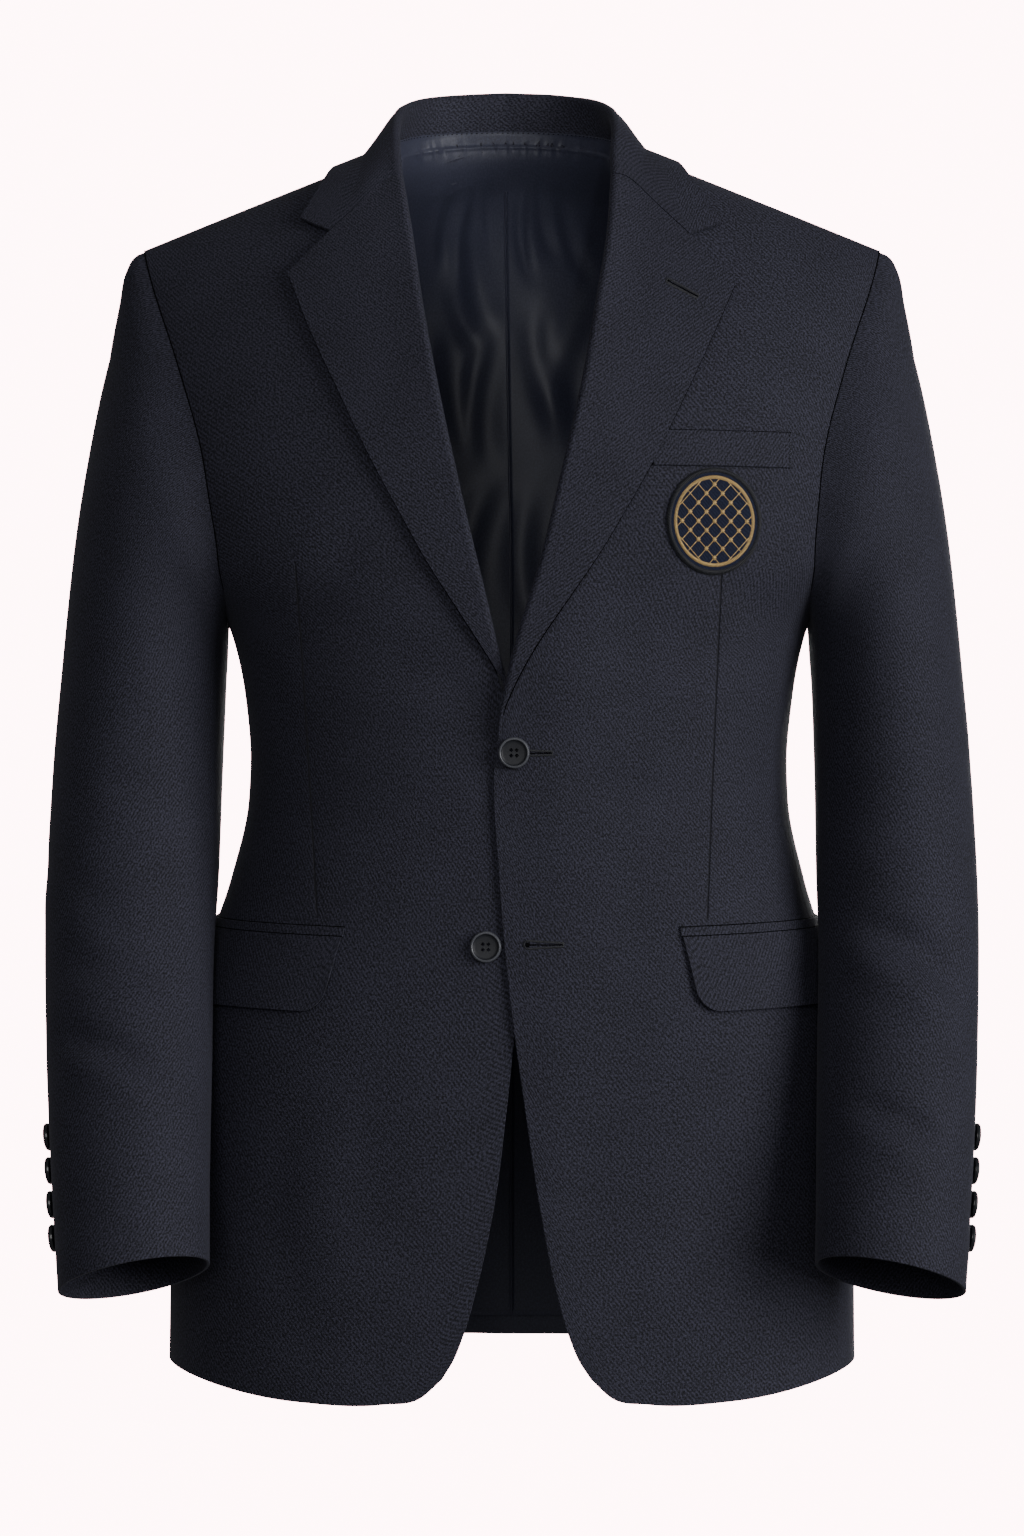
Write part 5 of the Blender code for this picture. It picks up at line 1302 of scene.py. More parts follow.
def form_height(across, deep):
    """Height of the body's form over a place in plan, with y = deep."""
    behind = deep > 0
    height = np.zeros_like(across)
    for _ in range(6):
        wide = ring_depth(np.abs(across) / read_table(BODY_FORM, height, 1))
        share = np.clip(np.abs(deep) / (form_depth(height, behind) * wide), 0, 0.97)
        drop = np.where(behind, dome_drop(share, *BACK_DOME), dome_drop(share, *FRONT_DOME))
        height = ridge_height(across) - drop
    return height


def held_clear(points, clear):
    """The same points, raised where they come closer to the body than the given distance."""
    across, deep = points[..., 0], points[..., 1]
    step = 0.001
    base = form_height(across, deep)
    slope_x = (form_height(across + step, deep) - form_height(across - step, deep)) / (2 * step)
    slope_y = (form_height(across, deep + step) - form_height(across, deep - step)) / (2 * step)
    upright = clear * np.sqrt(1 + slope_x**2 + slope_y**2)
    raised = points.copy()
    raised[..., 2] = np.maximum(points[..., 2], base + upright)
    return raised


def collar_seam(side):
    """Neck seam under the stand, one point a row, on the panels' own edges."""
    edge = cloth_point(side, front_places(side, np.linspace(0, 1, 3))[:, 0])
    start = np.interp(inset_roll(side)[-1][1], edge[:, 2], lengths_along(edge))
    front = share_points(edge, np.linspace(start, 1, COLLAR_FRONT_ROWS * COLLAR_FINE + 1))
    back = cloth_point(side, back_top(side, COLLAR_FINE))
    neck = back[BACK_NECK_COLUMNS * COLLAR_FINE::-1]
    return np.concatenate([front[:-1], [(front[-1] + neck[0]) / 2], neck[1:]])


def collar_fold(side, shares):
    """Fold of the collar, from the end of the roll round to the centre back."""
    end = roll_frame(side, 1.0)[0]
    fold = np.array(COLLAR_FOLD)[::-1] * np.array([side, 1, 1]) + np.array([NECK_CENTRE, 0, 0])
    return curve(np.concatenate([[end], fold]), shares)


def collar_edge(side, shares):
    """Outer edge of the leaf, from the collar's point over the shoulder to the centre back."""
    arc = neck_arc(side, np.linspace(0, 90, 8), COLLAR_EDGE_HALF_WIDTH, COLLAR_EDGE_DEPTH,
                   COLLAR_EDGE_POWER)
    shoulder = arc[0, [0, 2]] - np.array([0, COLLAR_SHOULDER_DROP])
    middle = (COLLAR_POINT[side] + shoulder) / 2 + COLLAR_EDGE_BEND * np.array([side, 1])
    front = over_front(side, np.array([COLLAR_POINT[side], middle]), LEAF_HEIGHT)
    return curve(np.concatenate([front, held_clear(arc, LEAF_HEIGHT)]), shares)


def half_collar(side):
    """Dense sections of one half of the collar, from the gorge seam to the centre back."""
    seam = collar_seam(side)
    shares = lengths_along(seam)
    fold, edge = collar_fold(side, shares), collar_edge(side, shares)
    along = unit(np.gradient(fold, axis=0))
    towards = fold - seam
    towards = unit(towards - along * np.sum(towards * along, axis=1, keepdims=True))
    end_towards = roll_frame(side, 1.0)[1]
    blend = ease(shares, 0.0, COLLAR_BLEND)[:, None]
    towards = unit(towards * blend + end_towards * (1 - blend))
    outward = unit(np.cross(along, towards)) * side
    curls, starts = [], []
    for row in range(len(shares)):
        centre = fold[row] - towards[row] * (ROLL_RADIUS + TURNED_WALL / 2 * (1 - blend[row]))
        lean = (ROLL_RADIUS - WOOL_WALL / 2) * (1 - STAND_LEAN * blend[row])
        centre = centre + outward[row] * lean
        curl = half_turn(centre, towards[row], outward[row], ROLL_RADIUS)
        start = seam[row] + unit(curl[0] - seam[row]) * STAND_CLEAR
        stand = start + (curl[0] - start) * np.linspace(0, 1, STAND_STEPS + 1)[:-1, None]
        dense = np.concatenate([stand, curl])
        curls.append(share_points(dense, np.linspace(0, 1, CURL_STEPS + 1)))
        starts.append(curl[-1])
    end_section = roll_section(side, 1.0, gorge_to(side, COLLAR_POINT[side]))
    curls[0] = end_section[: CURL_STEPS + 1]
    starts[0] = end_section[CURL_STEPS]
    bottom = end_section[CURL_STEPS:]
    across = lengths_along(bottom)[:, None]
    top = starts[-1] + (edge[-1] - starts[-1]) * across
    top = top + COLLAR_BULGE * np.sin(math.pi * across) * outward[-1]
    leaf = coons(np.array(starts), edge, bottom, top)
    leaf[1:] = held_clear(leaf[1:], LEAF_HEIGHT)
    sections = [np.concatenate([curl, row[1:]]) for curl, row in zip(curls, leaf)]
    sections[0] = sections[0] + roll_along(side, 1.0) * GORGE_SHIFT
    return sections


left_half, right_half = half_collar(1), half_collar(-1)
collar_sections = left_half[:-1] + [(left_half[-1] + right_half[-1]) / 2] + right_half[-2::-1]
collar_ends = {0: roll_along(1, 1.0), -1: -roll_along(-1, 1.0)}
collar_faces = turned_points(collar_sections, 1, collar_ends)
dress("collar", collar_faces, "folded", ["back_left", "back_right"], looks=(WOOL, WOOL),
      edge=TURNED_EDGE)

# %% [markdown]
# ## Pockets
#
# Each hip pocket has a flap with one rounded corner under a narrow jet, and the breast pocket has a
# welt. All of them are made from the front's own places, moved out by the cloth under them.

# %% Flaps, jets and welt
LAID_OUT = 0.0003  # trim lies this far over the front
WELT_WALL = 0.0018
FLAP_LIFT = 0.0014  # its lower edge stands off
JET_OVER, JET_UP = 0.0008, 0.0002
TRIM_STEPS = 60


def pocket_place(side, along, lift, slant=0.0):
    """Domain places round a hip pocket: distance from its front end, height over its top line."""
    girth = np.linspace(0, 1, 200)
    quarter = lengths_of(body_point(1, girth, np.full(200, FLAP_TOP))).sum()
    start = float(on_form(side, side * FLAP_START, FLAP_TOP)[0])
    places = start - (along + slant) / quarter, FLAP_TOP + FLAP_RISE * (along / FLAP_LENGTH) + lift
    return np.stack(np.broadcast_arrays(*places), axis=-1)


def make_hip_pocket(side, word):
    corner = FLAP_CORNER * (1 - np.cos(np.linspace(0, math.pi / 2, 14)))
    along = np.concatenate([corner, np.linspace(FLAP_CORNER, FLAP_LENGTH, TRIM_STEPS + 1)[1:]])
    down = np.linspace(1, 0, 25)[:, None]
    short = np.clip(FLAP_CORNER - along, 0, FLAP_CORNER)
    tall = FLAP_HEIGHT - (FLAP_CORNER - np.sqrt(FLAP_CORNER**2 - short**2))
    slant = FLAP_SLANT * (1 - along / FLAP_LENGTH) * down * tall / FLAP_HEIGHT
    place = pocket_place(side, along, -down * tall, slant)
    lift = LYING_GAP + FLAP_LIFT * down**2
    dress(f"pocket_flap_{word}", both_faces(panel_point, side, place, lift + WOOL_WALL, lift),
          "hung", [f"front_{word}"])
    up = np.linspace(0, 1, 5)[:, None] * JET_HEIGHT
    along = np.linspace(-JET_OVER, FLAP_LENGTH + JET_OVER, TRIM_STEPS + 1)
    place = pocket_place(side, along, up + JET_UP)
    faces = both_faces(panel_point, side, place, LAID_OUT + TRIM_WALL, LAID_OUT)
    dress(f"pocket_jet_{word}", faces, "laid", [f"front_{word}"], looks=(WOOL, WOOL))


for _side, _word in SIDES:
    make_hip_pocket(_side, _word)

_height = WELT_TOP - WELT_HEIGHT * np.linspace(1, 0, 17)[:, None]
_across = np.linspace(WELT_START, WELT_END, TRIM_STEPS + 1)
_place = on_form(1, *np.broadcast_arrays(_across, _height))
welt_faces = both_faces(panel_point, 1, _place, LAID_OUT + WELT_WALL, LAID_OUT)
dress("breast_welt", welt_faces, "laid", ["front_left"], looks=(WOOL, WOOL))

# %% [markdown]
# ## Lining
#
# Through the open front the back's lining shows: a blue satin that is cut a little too wide, with a
# pleat down its middle, so it lies in soft folds that catch the light. A narrow band of it runs
# under the collar's seam, gathered by its stitches.

# %% Back lining
LINING_OUT = -(WOOL_WALL + 0.0036)
LINING_VENT_SINK = 0.0032
VENT_ACROSS, VENT_OVER = (0.030, 0.070), (VENT_TOP + 0.03, VENT_TOP + 0.12)  # where the sink fades
LINING_INSET = 0.020
BAND_HEIGHT = 0.0100
LINING_ROWS, LINING_FINE = 190, 9
LINING_TOP_GAP, LINING_TOP_DROP = 0.0004, 0.004
LINING_CREASES = (  # across, height, to across, height, width, depth
    (-0.030, -0.010, -0.034, -0.075, 0.005, 0.0024),
    (-0.046, -0.012, -0.052, -0.060, 0.004, 0.0018),
    (-0.020, -0.008, -0.018, -0.050, 0.003, 0.0014),
    (0.008, -0.006, 0.012, -0.066, 0.004, 0.0024),
    (0.020, -0.008, 0.030, -0.055, 0.004, 0.0019),
    (0.036, -0.014, 0.052, -0.070, 0.005, 0.0019),
    (-0.040, -0.050, -0.022, -0.115, 0.009, 0.0039),
    (-0.055, -0.090, -0.030, -0.200, 0.010, 0.0036),
    (-0.016, -0.100, -0.024, -0.190, 0.007, 0.0027),
    (0.014, -0.080, 0.034, -0.170, 0.009, 0.0033),
    (0.048, -0.070, 0.030, -0.190, 0.010, 0.0033),
    (-0.012, -0.190, -0.030, -0.300, 0.009, 0.0024),
    (0.010, -0.200, 0.022, -0.320, 0.009, 0.0024),
    (0.012, -0.480, 0.030, -0.700, 0.010, 0.0018),
    (-0.018, -0.500, -0.010, -0.690, 0.010, 0.0018),
)


def lining_point(side, place, out):
    across = body_point(side, place[..., 0], place[..., 1])[..., 0]
    near = 1 - ease(np.abs(across - VENT_LAP / 2), *VENT_ACROSS)
    sink = LINING_VENT_SINK * near * (1 - ease(place[..., 1], *VENT_OVER))
    fold = creases(across, place[..., 1], LINING_CREASES)
    lift = LINING_OUT - sink + out + fold + vent_sink(side, across, place[..., 1])
    return cloth_point(side, place, lift)


def make_lining(side, word):
    top = back_top(side, LINING_FINE)
    shares = np.linspace(0, 1, len(top))
    top[:, 1] -= BAND_HEIGHT + LINING_TOP_GAP
    top[-1] -= np.array([LINING_INSET, LINING_TOP_DROP])
    height = np.linspace(LINING_HEM, top[0, 1], LINING_ROWS + 1)
    left = on_form(side, centre_line(height), height, behind=True)
    left[-1] = top[0]
    right = side_edge(np.linspace(0, SEAM_ROWS + BACK_ARM_ROWS, LINING_ROWS + 1), True)
    right[:, 0] -= LINING_INSET
    right[:, 1] = np.clip(right[:, 1], LINING_HEM, top[-1, 1])
    right[-1] = top[-1]
    right[0, 1] = LINING_HEM
    bottom = hem_between(left, right, shares)
    bottom[:, 1] = LINING_HEM
    place = body_panel(side, left, right, bottom, top, shares)
    dress(f"lining_{word}", both_faces(lining_point, side, place, 0.0, -LINING_WALL), "hung",
          [f"back_{word}"], "lining", (SATIN, SATIN), edge=0)


for _side, _word in SIDES:
    make_lining(_side, _word)

# %% Neck band
BAND_TOP_SIDE, BAND_TOP_SLOPE = 0.0134, 0.27  # height of its seam beside the neck, rise with depth
BAND_SEEN_HEIGHT = 0.0100  # from the seam down to the tuck
# Below the neck seam: the band's end, and where it leaves the lining.
BAND_LAP, BAND_MERGE = 0.0300, 0.0160
BAND_BULGE = 0.0046
TUCK_DEPTH = 0.0009
BAND_WALL, BAND_CLEAR = 0.0004, 0.0006
GATHER_REACH, GATHER_DEPTH = 0.0045, 0.00045
TUCK_REACH, TUCK_STEP = 0.0009, 0.0008


def band_column(row, thick):
    """One column of the gathered band: up the lining, then freely to its seam on the stand."""
    stand = collar_faces[0][row, :20]
    across, deep, seam = stand[0]
    side = 1 if across > NECK_CENTRE else -1
    inward = unit(np.array([NECK_CENTRE - across, -0.02 - deep, 0]))
    top_height = BAND_TOP_SIDE + BAND_TOP_SLOPE * (deep - 0.034)
    top = np.array([np.interp(top_height, stand[:, 2], stand[:, k]) for k in range(3)])
    top = top + inward * (BAND_CLEAR + thick)
    low = seam - np.linspace(BAND_LAP, BAND_MERGE, 13)
    rise = np.linspace(-0.0008, 0.0003, len(low))
    laid = lining_point(side, on_form(side, across, low, behind=True), -LINING_WALL - rise - thick)
    share = np.linspace(0, 1, 37)[1:, None]
    free = laid[-1] + (top - laid[-1]) * share
    fold = creases(free[:, :1], free[:, 2:], LINING_CREASES)
    free = free + inward * (BAND_BULGE * np.sin(math.pi * share) - fold * (1 - share) ** 0.7)
    height = free[:, 2:] - (top_height - BAND_SEEN_HEIGHT)
    turn = 900 * across + 500 * deep * side
    wave = math.sin(turn) + 0.7 * math.sin(1.73 * turn + 1) + 0.5 * math.sin(3.1 * turn + 2)
    gather = np.exp(-((height / GATHER_REACH) ** 2)) * GATHER_DEPTH * wave
    tuck = np.exp(-((height / TUCK_REACH) ** 2)) * TUCK_DEPTH
    tuck = tuck - TUCK_STEP * ease(height, 0.0, 0.0012)
    free = free + inward * (gather + tuck) * ease(1 - share, 0.0, 0.08)
    return np.concatenate([laid, free])


band_rows = [k for k, section in enumerate(collar_faces[0]) if section[0, 1] > 0.004]
band_faces = [np.array([band_column(k, thick) for k in band_rows]).transpose(1, 0, 2)
              for thick in (0.0, BAND_WALL)]
dress("neck_band", band_faces, "gathered", ["back_left", "back_right"], "lining", (SATIN, SATIN),
      edge=0)

# %% [markdown]
# ## Buttons
#
# The buttons are turned from near-black horn resin: a round rim, a dished middle and four holes.
# Their rims are coloured lighter than the rest as a painted highlight.

# %% Buttons
# The rim look is a lighter horn that paints the rims' highlight.
HORN_AND_CUFF_RIM_HIGHLIGHT, RIM_HIGHLIGHT_HORN, CUFF_HORN = plain_looks(
    ("horn", (0.012, 0.013, 0.017, 1), 0.50, {"specular_ior_level": 0.30}),
    ("horn_rim_highlight", (0.070, 0.073, 0.086, 1), 0.35, {"coat_weight": 0.1}),
    ("horn_cuff", (0.006, 0.007, 0.010, 1), 0.25, {"coat_weight": 0.4}),
)
BUTTON_PROFILE = (  # share of the radius, height as a share of the radius
    (0.00, 0.00),
    (0.82, 0.00),
    (0.97, 0.10),
    (1.00, 0.22),
    (0.985, 0.33),
    (0.94, 0.40),
    (0.88, 0.42),
    (0.83, 0.39),
    (0.80, 0.33),
    (0.74, 0.285),
    (0.62, 0.27),
    (0.00, 0.24),
)
RIM_HIGHLIGHT_FROM, RIM_HIGHLIGHT_LOW = 0.85, 0.20
HOLE_RADIUS, HOLE_PLACE = 0.14, 0.25
HOLE_DEPTH, HOLE_MIDDLE = 1.2, 0.2
BUTTON_CLEAR = 0.0004
FRONT_SIDES, CUFF_SIDES = 48, 40
SHARP_ANGLE = 35


def evaluated_mesh(thing):
    """Mesh of an object with its modifiers or its bevel worked out."""
    bpy.context.view_layer.update()
    worked_out = thing.evaluated_get(bpy.context.evaluated_depsgraph_get())
    return bpy.data.meshes.new_from_object(worked_out)


def button_mesh(name, radius, sides):
    """Turned button with a raised rim, a hollow middle and four holes, facing +Z."""
    bm = spun([(across * radius, up * radius) for across, up in BUTTON_PROFILE], sides)
    bmesh.ops.remove_doubles(bm, verts=bm.verts, dist=1e-6)
    bmesh.ops.recalc_face_normals(bm, faces=bm.faces)
    body = put(name + "_solid", as_mesh(bm, name + "_solid"))
    bm = bmesh.new()
    for quarter in range(4):
        turn = math.radians(45 + 90 * quarter)
        made = bmesh.ops.create_cone(bm, cap_ends=True, segments=4, radius1=radius * HOLE_RADIUS,
                                     radius2=radius * HOLE_RADIUS, depth=radius * HOLE_DEPTH)
        aside, up = math.cos(turn) * radius * HOLE_PLACE, math.sin(turn) * radius * HOLE_PLACE
        bmesh.ops.translate(bm, verts=made["verts"], vec=(aside, up, radius * HOLE_MIDDLE))
    drill = put(name + "_drill", as_mesh(bm, name + "_drill"))
    body.modifiers.new("holes", "BOOLEAN").object = drill
    mesh = evaluated_mesh(body)
    mesh.name = name
    for item in (body, drill):
        bpy.data.objects.remove(item)
    return mesh


def place_button(name, mesh, point, outward, up, looks):
    """Copy of a button's mesh on the cloth; looks are those of its body and of its rim, which is
    lighter as a painted highlight.
    """
    side_way = unit(np.cross(up, outward))
    upright = np.cross(outward, side_way)
    turned = Matrix(np.column_stack([side_way, upright, outward]).tolist())
    place = Matrix.LocRotScale(point + outward * BUTTON_CLEAR, turned, None)
    own = mesh.copy()
    own.transform(place)
    own.materials.clear()
    radius = max(vertex.co.xy.length for vertex in mesh.vertices)
    for look in looks:
        own.materials.append(look)
    for face, flat_face in zip(own.polygons, mesh.polygons):
        middle = flat_face.center / radius
        # Faces of the rim get the second, lighter look: a painted highlight ring.
        face.material_index = int(middle.xy.length > RIM_HIGHLIGHT_FROM and middle.z > RIM_HIGHLIGHT_LOW)
    own.shade_smooth()
    own.set_sharp_from_angle(angle=math.radians(SHARP_ANGLE))
    made = put("turned_" + name, own)
    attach(made, "root")
    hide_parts(name)


front_mesh = button_mesh("front_button", FRONT_BUTTON_RADIUS, FRONT_SIDES)
cuff_mesh = button_mesh("cuff_button", CUFF_BUTTON_RADIUS, CUFF_SIDES)
for name, _side, across, height in FRONT_BUTTONS:
    outward = body_normal(_side, *on_form(_side, across, height))
    point = over_front(_side, np.array([across, height]), 0.0)
    place_button(name, front_mesh, point, outward, np.array([0, 0, 1.0]), (HORN_AND_CUFF_RIM_HIGHLIGHT, RIM_HIGHLIGHT_HORN))
for _side, _word in SIDES:
    for k in range(4):
        at = 1 - (CUFF_BUTTON_LAST + (3 - k) * CUFF_BUTTON_PITCH) / SLEEVE_LENGTH
        spots = np.array([at, at - 0.01, at + 0.01])
        angles = np.full(3, float(CUFF_BUTTON_ANGLE))
        point, above, below = sleeve_point(_side, angles, spots)
        raised = sleeve_point(_side, angles[:1], spots[:1], 0.001)[0]
        # The cuff buttons' rims take the front buttons' lighter horn: a painted highlight.
        place_button(f"cuff_button_{_word}_{k + 1}", cuff_mesh, point, unit(raised - point),
                     unit(above - below), (CUFF_HORN, HORN_AND_CUFF_RIM_HIGHLIGHT))
print("buttons placed")

# %% [markdown]
# ## Thread
#
# Thread is a thin cord, so it is a curve with a round bevel, turned into a mesh. Each stitch is one
# short arc that dips into the cloth at its ends. Buttonholes are worked over a slit: a dense row of
# purl stitches round a keyhole, with a bar at the far end. Near-black cords also paint shade: along
# seams, pocket mouths and under the lapels' edges, and in each buttonhole's slit and eye.

# %% Thread helper
STITCH_ARC = (-0.6, 0.6, 1.0, 0.6, -0.6)  # height of a stitch along its way


def thread(name, runs, radius, look, closed=False):
    """Piece of thread work: one round strand for each run of points."""
    data = bpy.data.curves.new(name, "CURVE")
    data.dimensions, data.bevel_depth = "3D", radius
    data.bevel_resolution, data.use_fill_caps = 1, True
    for run in runs:
        spline = data.splines.new("POLY")
        spline.points.add(len(run) - 1)
        flat = np.column_stack([np.array(run), np.ones(len(run))]).ravel()
        spline.points.foreach_set("co", flat)
        spline.use_cyclic_u = closed
    drawn = put(name + "_drawn", data)
    mesh = evaluated_mesh(drawn)
    bpy.data.objects.remove(drawn)
    mesh.materials.clear()
    mesh.materials.append(look)
    mesh.shade_smooth()
    piece = put(name, mesh)
    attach(piece, "root")


def stitches(line, normal, count, share, lift):
    """Runs of a row of stitches along a line; share is how much of the pitch each takes."""
    runs = []
    pitch = 1 / count
    for k in range(count):
        at = (k + 0.5 + share * np.linspace(-0.5, 0.5, 5)) * pitch
        points = share_points(line, at)
        outward = normal
        if len(normal) > 1:
            outward = share_points(normal, np.full(5, (k + 0.5) * pitch))
        runs.append(points + unit(outward) * np.array(STITCH_ARC)[:, None] * lift)
    return runs


THREAD, GOLD, SLIT_SHADE = plain_looks(
    ("thread", (0.008, 0.009, 0.014, 1), 0.6, {"sheen_weight": 0.1}),
    ("gold_thread", (0.62, 0.42, 0.16, 1), 0.42, {"metallic": 0.35, "sheen_weight": 0.2}),
    # The near-black look below paints shade. It colours the cords sunk in seams, pocket mouths and
    # buttonhole slits and eyes, and the neck band's stitches.
    ("slit_shade", (0.001, 0.001, 0.0015, 1), 0.9, {"specular_ior_level": 0.1}),
)

# %% Seam lines of painted shade, and stitches
STITCH_UP = np.array([[0, -1.0, 0]])
# Radii of the near-black cords that paint shade along the seams, the pocket mouths and the lapels'
# edges.
ARMHOLE_SHADE_LINE, JET_SHADE_LINE, WELT_SHADE_LINE, LAPEL_SHADE_LINE = 0.00040, 0.00045, 0.00048, 0.00042  # radii
JET_MOUTH_SHADES = (  # name, height over the pocket's line, lift
    ("low", 0.0001, 0.0016),
    ("high", JET_HEIGHT + 0.0003, 0.0004),
)


def shade_line(name, line, radius):
    """Painted shade: a near-black cord sunk along a seam or a pocket's mouth, between the pieces
    that meet there.
    """
    thread(name, [line], radius, SLIT_SHADE)


for _side, _word in SIDES:
    around = armhole(np.mod(np.linspace(-60, 165, 200), 360))
    seam = cloth_point(_side, around) + [_side * 0.0002, 0, 0]
    shade_line(f"armhole_line_{_word}", seam, ARMHOLE_SHADE_LINE)
    along = np.linspace(-0.0006, FLAP_LENGTH + 0.0006, TRIM_STEPS + 1)
    for level, high, out in JET_MOUTH_SHADES:
        mouth = pocket_place(_side, along, high + JET_UP)
        shade_line(f"jet_line_{level}_{_word}", panel_point(_side, mouth, out), JET_SHADE_LINE)

_mouth = on_form(1, _across, np.full(len(_across), WELT_TOP + 0.0004))
shade_line("welt_shade_line", panel_point(1, _mouth, LAID_OUT), WELT_SHADE_LINE)
# Under each lapel's edge, a cord paints the shadow that the edge casts.
for _side, _word in SIDES:
    edge = curve(LAPEL_EDGE[_side], np.linspace(0.0, 0.995, 160)) + [_side * 0.0003, -0.0002]
    shade_line(f"lapel_line_{_word}", over_front(_side, edge, 0.0004), LAPEL_SHADE_LINE)
_height = np.linspace(WELT_TOP - 0.001, WELT_TOP - WELT_HEIGHT, 21)
_line = panel_point(1, on_form(1, np.full(21, WELT_END - 0.0016), _height), LAID_OUT + WELT_WALL)
thread("welt_stitches", stitches(_line, STITCH_UP, 9, 0.45, 0.00035), 0.00024, THREAD)

_height = np.linspace(LINING_HEM + 0.004, -0.0105, 200)
_pleat = on_form(-1, centre_back(1, _height) - 0.0006, _height, behind=True)
pleat_line = lining_point(-1, _pleat, -LINING_WALL - 0.0004)
thread("pleat_fold", [pleat_line], 0.00080, SATIN)
_face = band_faces[0]
_top = _face[-1] + unit(_face[-1] - _face[-6]) * -0.0008
_inward = unit(np.array([NECK_CENTRE, -0.02, 0]) - _face[-1] * [1, 1, 0])
# The band's stitches take the near-black look. They are dark thread, made darker still by painted
# shade in their pricks.
thread("band_stitches", stitches(_top, _inward, 66, 0.42, 0.00045), 0.00030, SLIT_SHADE)
print("seam lines and stitches")

# %% Buttonholes
HOLE_HALF = 0.00075
PURL = ((-0.0002, 0.00025), (0.0003, 0.00050), (0.0009, 0.00005))  # distance out, lift
WORKED, CORD, SLIT_SHADE_CORD, BAR = 0.00016, 0.00030, 0.00042, 0.00022  # radii
EYE_SHADE_FILL, BAR_HALF = 0.74, 0.0014


def buttonhole(name, lay, start, end, eye, bar):
    """Worked buttonhole between two places, with painted shade in its slit and eye; lay gives a
    point over the cloth.
    """
    start, end = np.array(start), np.array(end)
    along = unit(end - start)
    aside = np.array([-along[1], along[0]])
    length = np.linalg.norm(end - start)
    turn = np.radians(np.linspace(90, 270, 9))
    head = [start + eye * (np.cos(a) * along + np.sin(a) * aside) for a in turn]
    tail = [end - aside * HOLE_HALF, end + aside * HOLE_HALF]
    outline = share_points(np.array([*head, *tail, head[0]]), np.linspace(0, 1, 161))
    here = outline[:-1]
    reach = np.clip((here - start) @ along, 0, length)[:, None]
    out = unit(here - (start + along * reach))
    runs = np.stack([lay(here + out * far, lift) for far, lift in PURL], axis=1)
    thread(f"{name}_worked", runs, WORKED, THREAD)
    thread(f"{name}_cord", [lay(here, 0.00022)], CORD, THREAD, closed=True)
    # The slit and the eye are near-black cords: painted shade in the opening.
    slit_shade = lay(start + along * length * np.linspace(0, 1, 12)[:, None], 0.00005)
    thread(f"{name}_slit", [slit_shade], SLIT_SHADE_CORD, SLIT_SHADE)
    thread(f"{name}_eye", [[lay(start, -0.0006), lay(start, 0.00060)]], eye * EYE_SHADE_FILL, SLIT_SHADE)
    if bar:
        across = [lay(end + along * 0.0003 * k + aside * s, 0.0004)
                  for k in (0, 1) for s in (-BAR_HALF, BAR_HALF)]
        thread(f"{name}_bar", [across[:2], across[2:]], BAR, THREAD)


def on_left_front(seen, out, under=0.0):
    """Point over the left front, or over what lies on it."""
    return over_front(1, np.asarray(seen), under + out)


on_left_lapel = partial(on_left_front, under=LEAF_HEIGHT + TURNED_WALL / 2)
buttonhole("buttonhole_top", on_left_front, (0.0030, -0.3770), (0.0241, -0.3770), 0.0016, True)
buttonhole("buttonhole_low", on_left_front, (0.0095, -0.4927), (0.0307, -0.4927), 0.0021, True)
buttonhole("buttonhole_lapel", on_left_lapel, (0.0947, -0.0897), (0.1129, -0.0994), 0.0010, False)
print("three worked buttonholes")

# %% [markdown]
# ## Oval chest patch
#
# The pocket's badge is a plain ornament here: a felt oval with a merrowed rim, where a dense thread
# wraps the cut edge. Inside are a corded border line and a diagonal lattice of gold thread with a
# knot at each crossing. Each stitch is a short strand that lies on the felt's own points.

# %% Patch
PATCH_TOP = 0.0014
LATTICE_PITCH, LATTICE_REACH = 0.245, 0.80
LATTICE_LINES = range(-4, 5)
SLANTED = math.sqrt(0.5)


def disc_grid(count):
    """Grid of places over a unit disc, without a pole."""
    line = np.linspace(-1, 1, count)
    u = np.sin(line * math.pi / 2) * 0.5 + line * 0.5
    v = u[:, None]
    return u * np.sqrt(1 - v**2 / 2), v * np.sqrt(1 - u**2 / 2)


def patch_point(disc_x, disc_z, out):
    seen_x = PATCH_CENTRE[0] + PATCH_HALF[0] * np.asarray(disc_x)
    seen_z = PATCH_CENTRE[1] + PATCH_HALF[1] * np.asarray(disc_z)
    return panel_point(1, on_form(1, seen_x, seen_z), out)


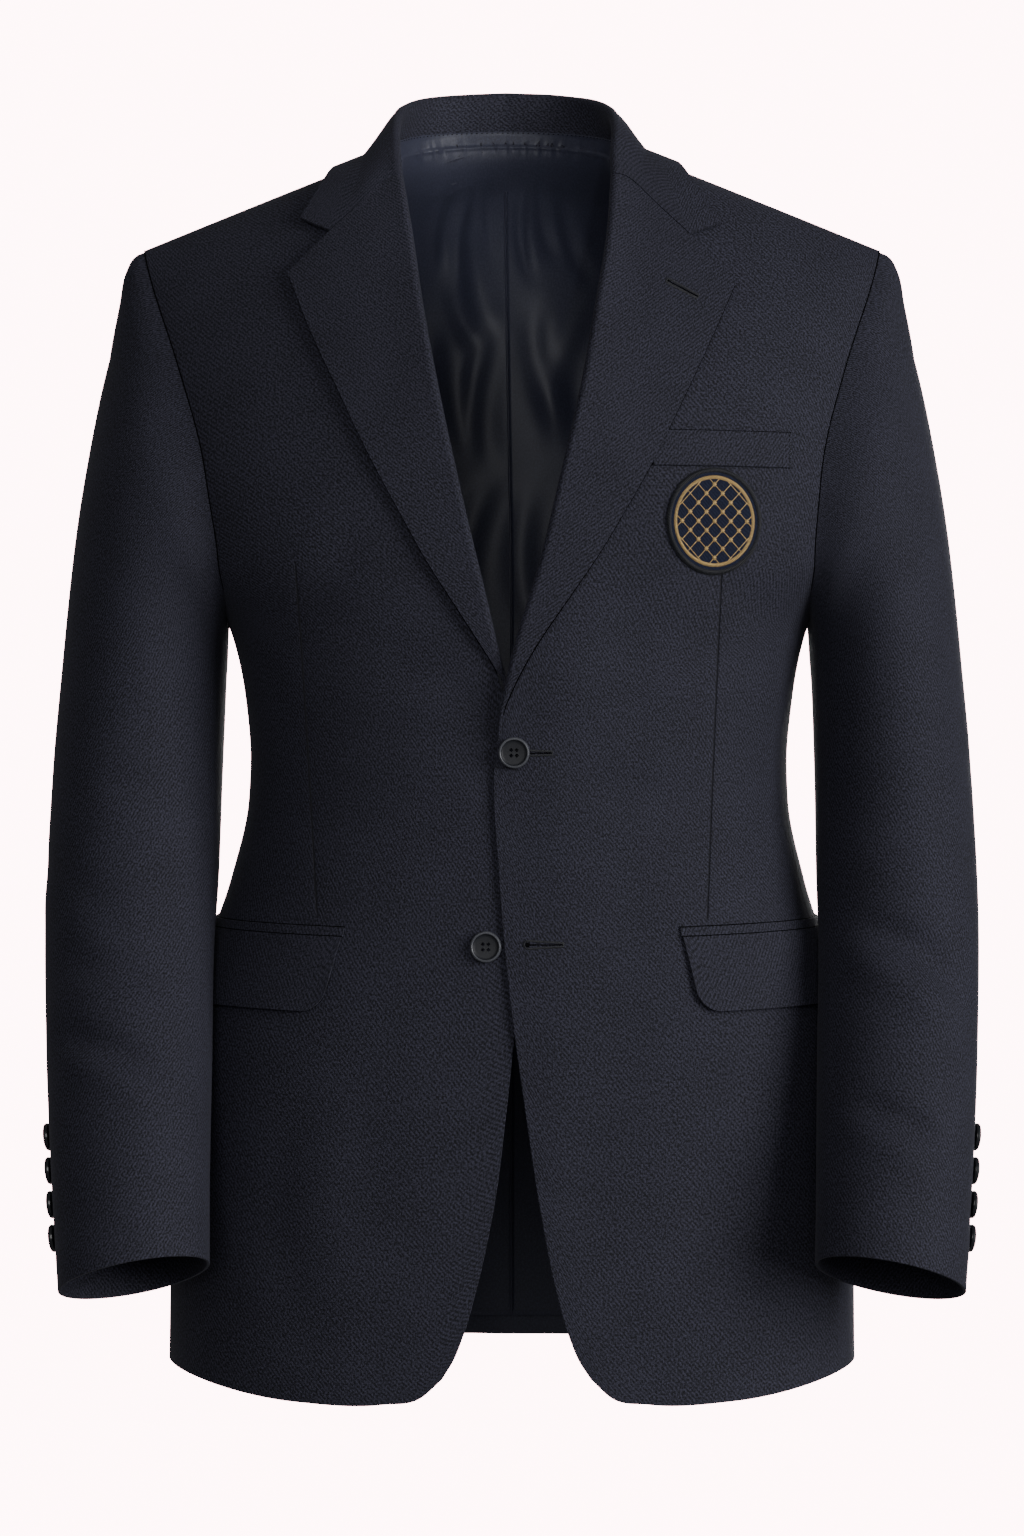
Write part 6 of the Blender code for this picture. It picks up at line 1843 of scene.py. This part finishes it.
disc_x, disc_z = disc_grid(41)
patch_faces = [patch_point(disc_x, disc_z, out) for out in (PATCH_TOP, LAID_OUT)]
dress("chest_patch", patch_faces, "laid", ["front_left"], "felt", (FELT, FELT), "felt_patch",
      edge=0)


def ring_stitches(count, inside, outside, slant, low, high):
    """Slanted stitches across a ring of the oval, radii given as shares."""
    steps = np.linspace(0, 1, 5)
    turn = 2 * math.pi * np.arange(count)[:, None] / count + slant * steps
    radius = inside + (outside - inside) * steps
    lift = low + (high - low) * np.sin(math.pi * steps)
    lift = np.broadcast_to(lift, turn.shape)
    return patch_point(radius * np.cos(turn), radius * np.sin(turn), lift)


rim = ring_stitches(210, 0.915, 1.012, 0.045, 0.0006, PATCH_TOP + 0.0009)
thread("patch_rim", rim, 0.00040, THREAD)
border = ring_stitches(190, 0.800, 0.860, 0.040, PATCH_TOP - 0.0001, PATCH_TOP + 0.00035)
thread("patch_border", border, 0.00030, GOLD)

lattice, knots = [], []
for direction in (1, -1):
    for step in LATTICE_LINES:
        offset = step * LATTICE_PITCH
        line = np.linspace(-1.2, 1.2, 161)
        across = (offset + direction * line) * SLANTED
        upward = (offset - direction * line) * SLANTED * direction
        kept = np.hypot(across, upward) < LATTICE_REACH
        if kept.sum() > 6:
            run = patch_point(across[kept], upward[kept], PATCH_TOP + 0.0001)
            count = max(2, int(kept.sum() / 8))
            lattice.extend(stitches(run, STITCH_UP, count, 0.92, 0.00022))
knot_lift = PATCH_TOP + 0.0006 * np.array([0.2, 0.9, 1.1, 0.9, 0.2])
knot_line = 0.040 * np.linspace(-1, 1, 5)
for i in LATTICE_LINES:
    for j in LATTICE_LINES:
        across, upward = ((i + way * j) * LATTICE_PITCH * SLANTED for way in (1, -1))
        if math.hypot(across, upward) < LATTICE_REACH - 0.08:
            for turn in (0, math.pi / 2):
                aside, up = knot_line * math.cos(turn), knot_line * math.sin(turn)
                knots.append(patch_point(across + aside, upward + up, knot_lift))
thread("patch_lattice", lattice, 0.00024, GOLD)
thread("patch_knots", knots, 0.00036, GOLD)
print("patch:", len(rim), "rim,", len(border), "border and", len(lattice), "lattice stitches")
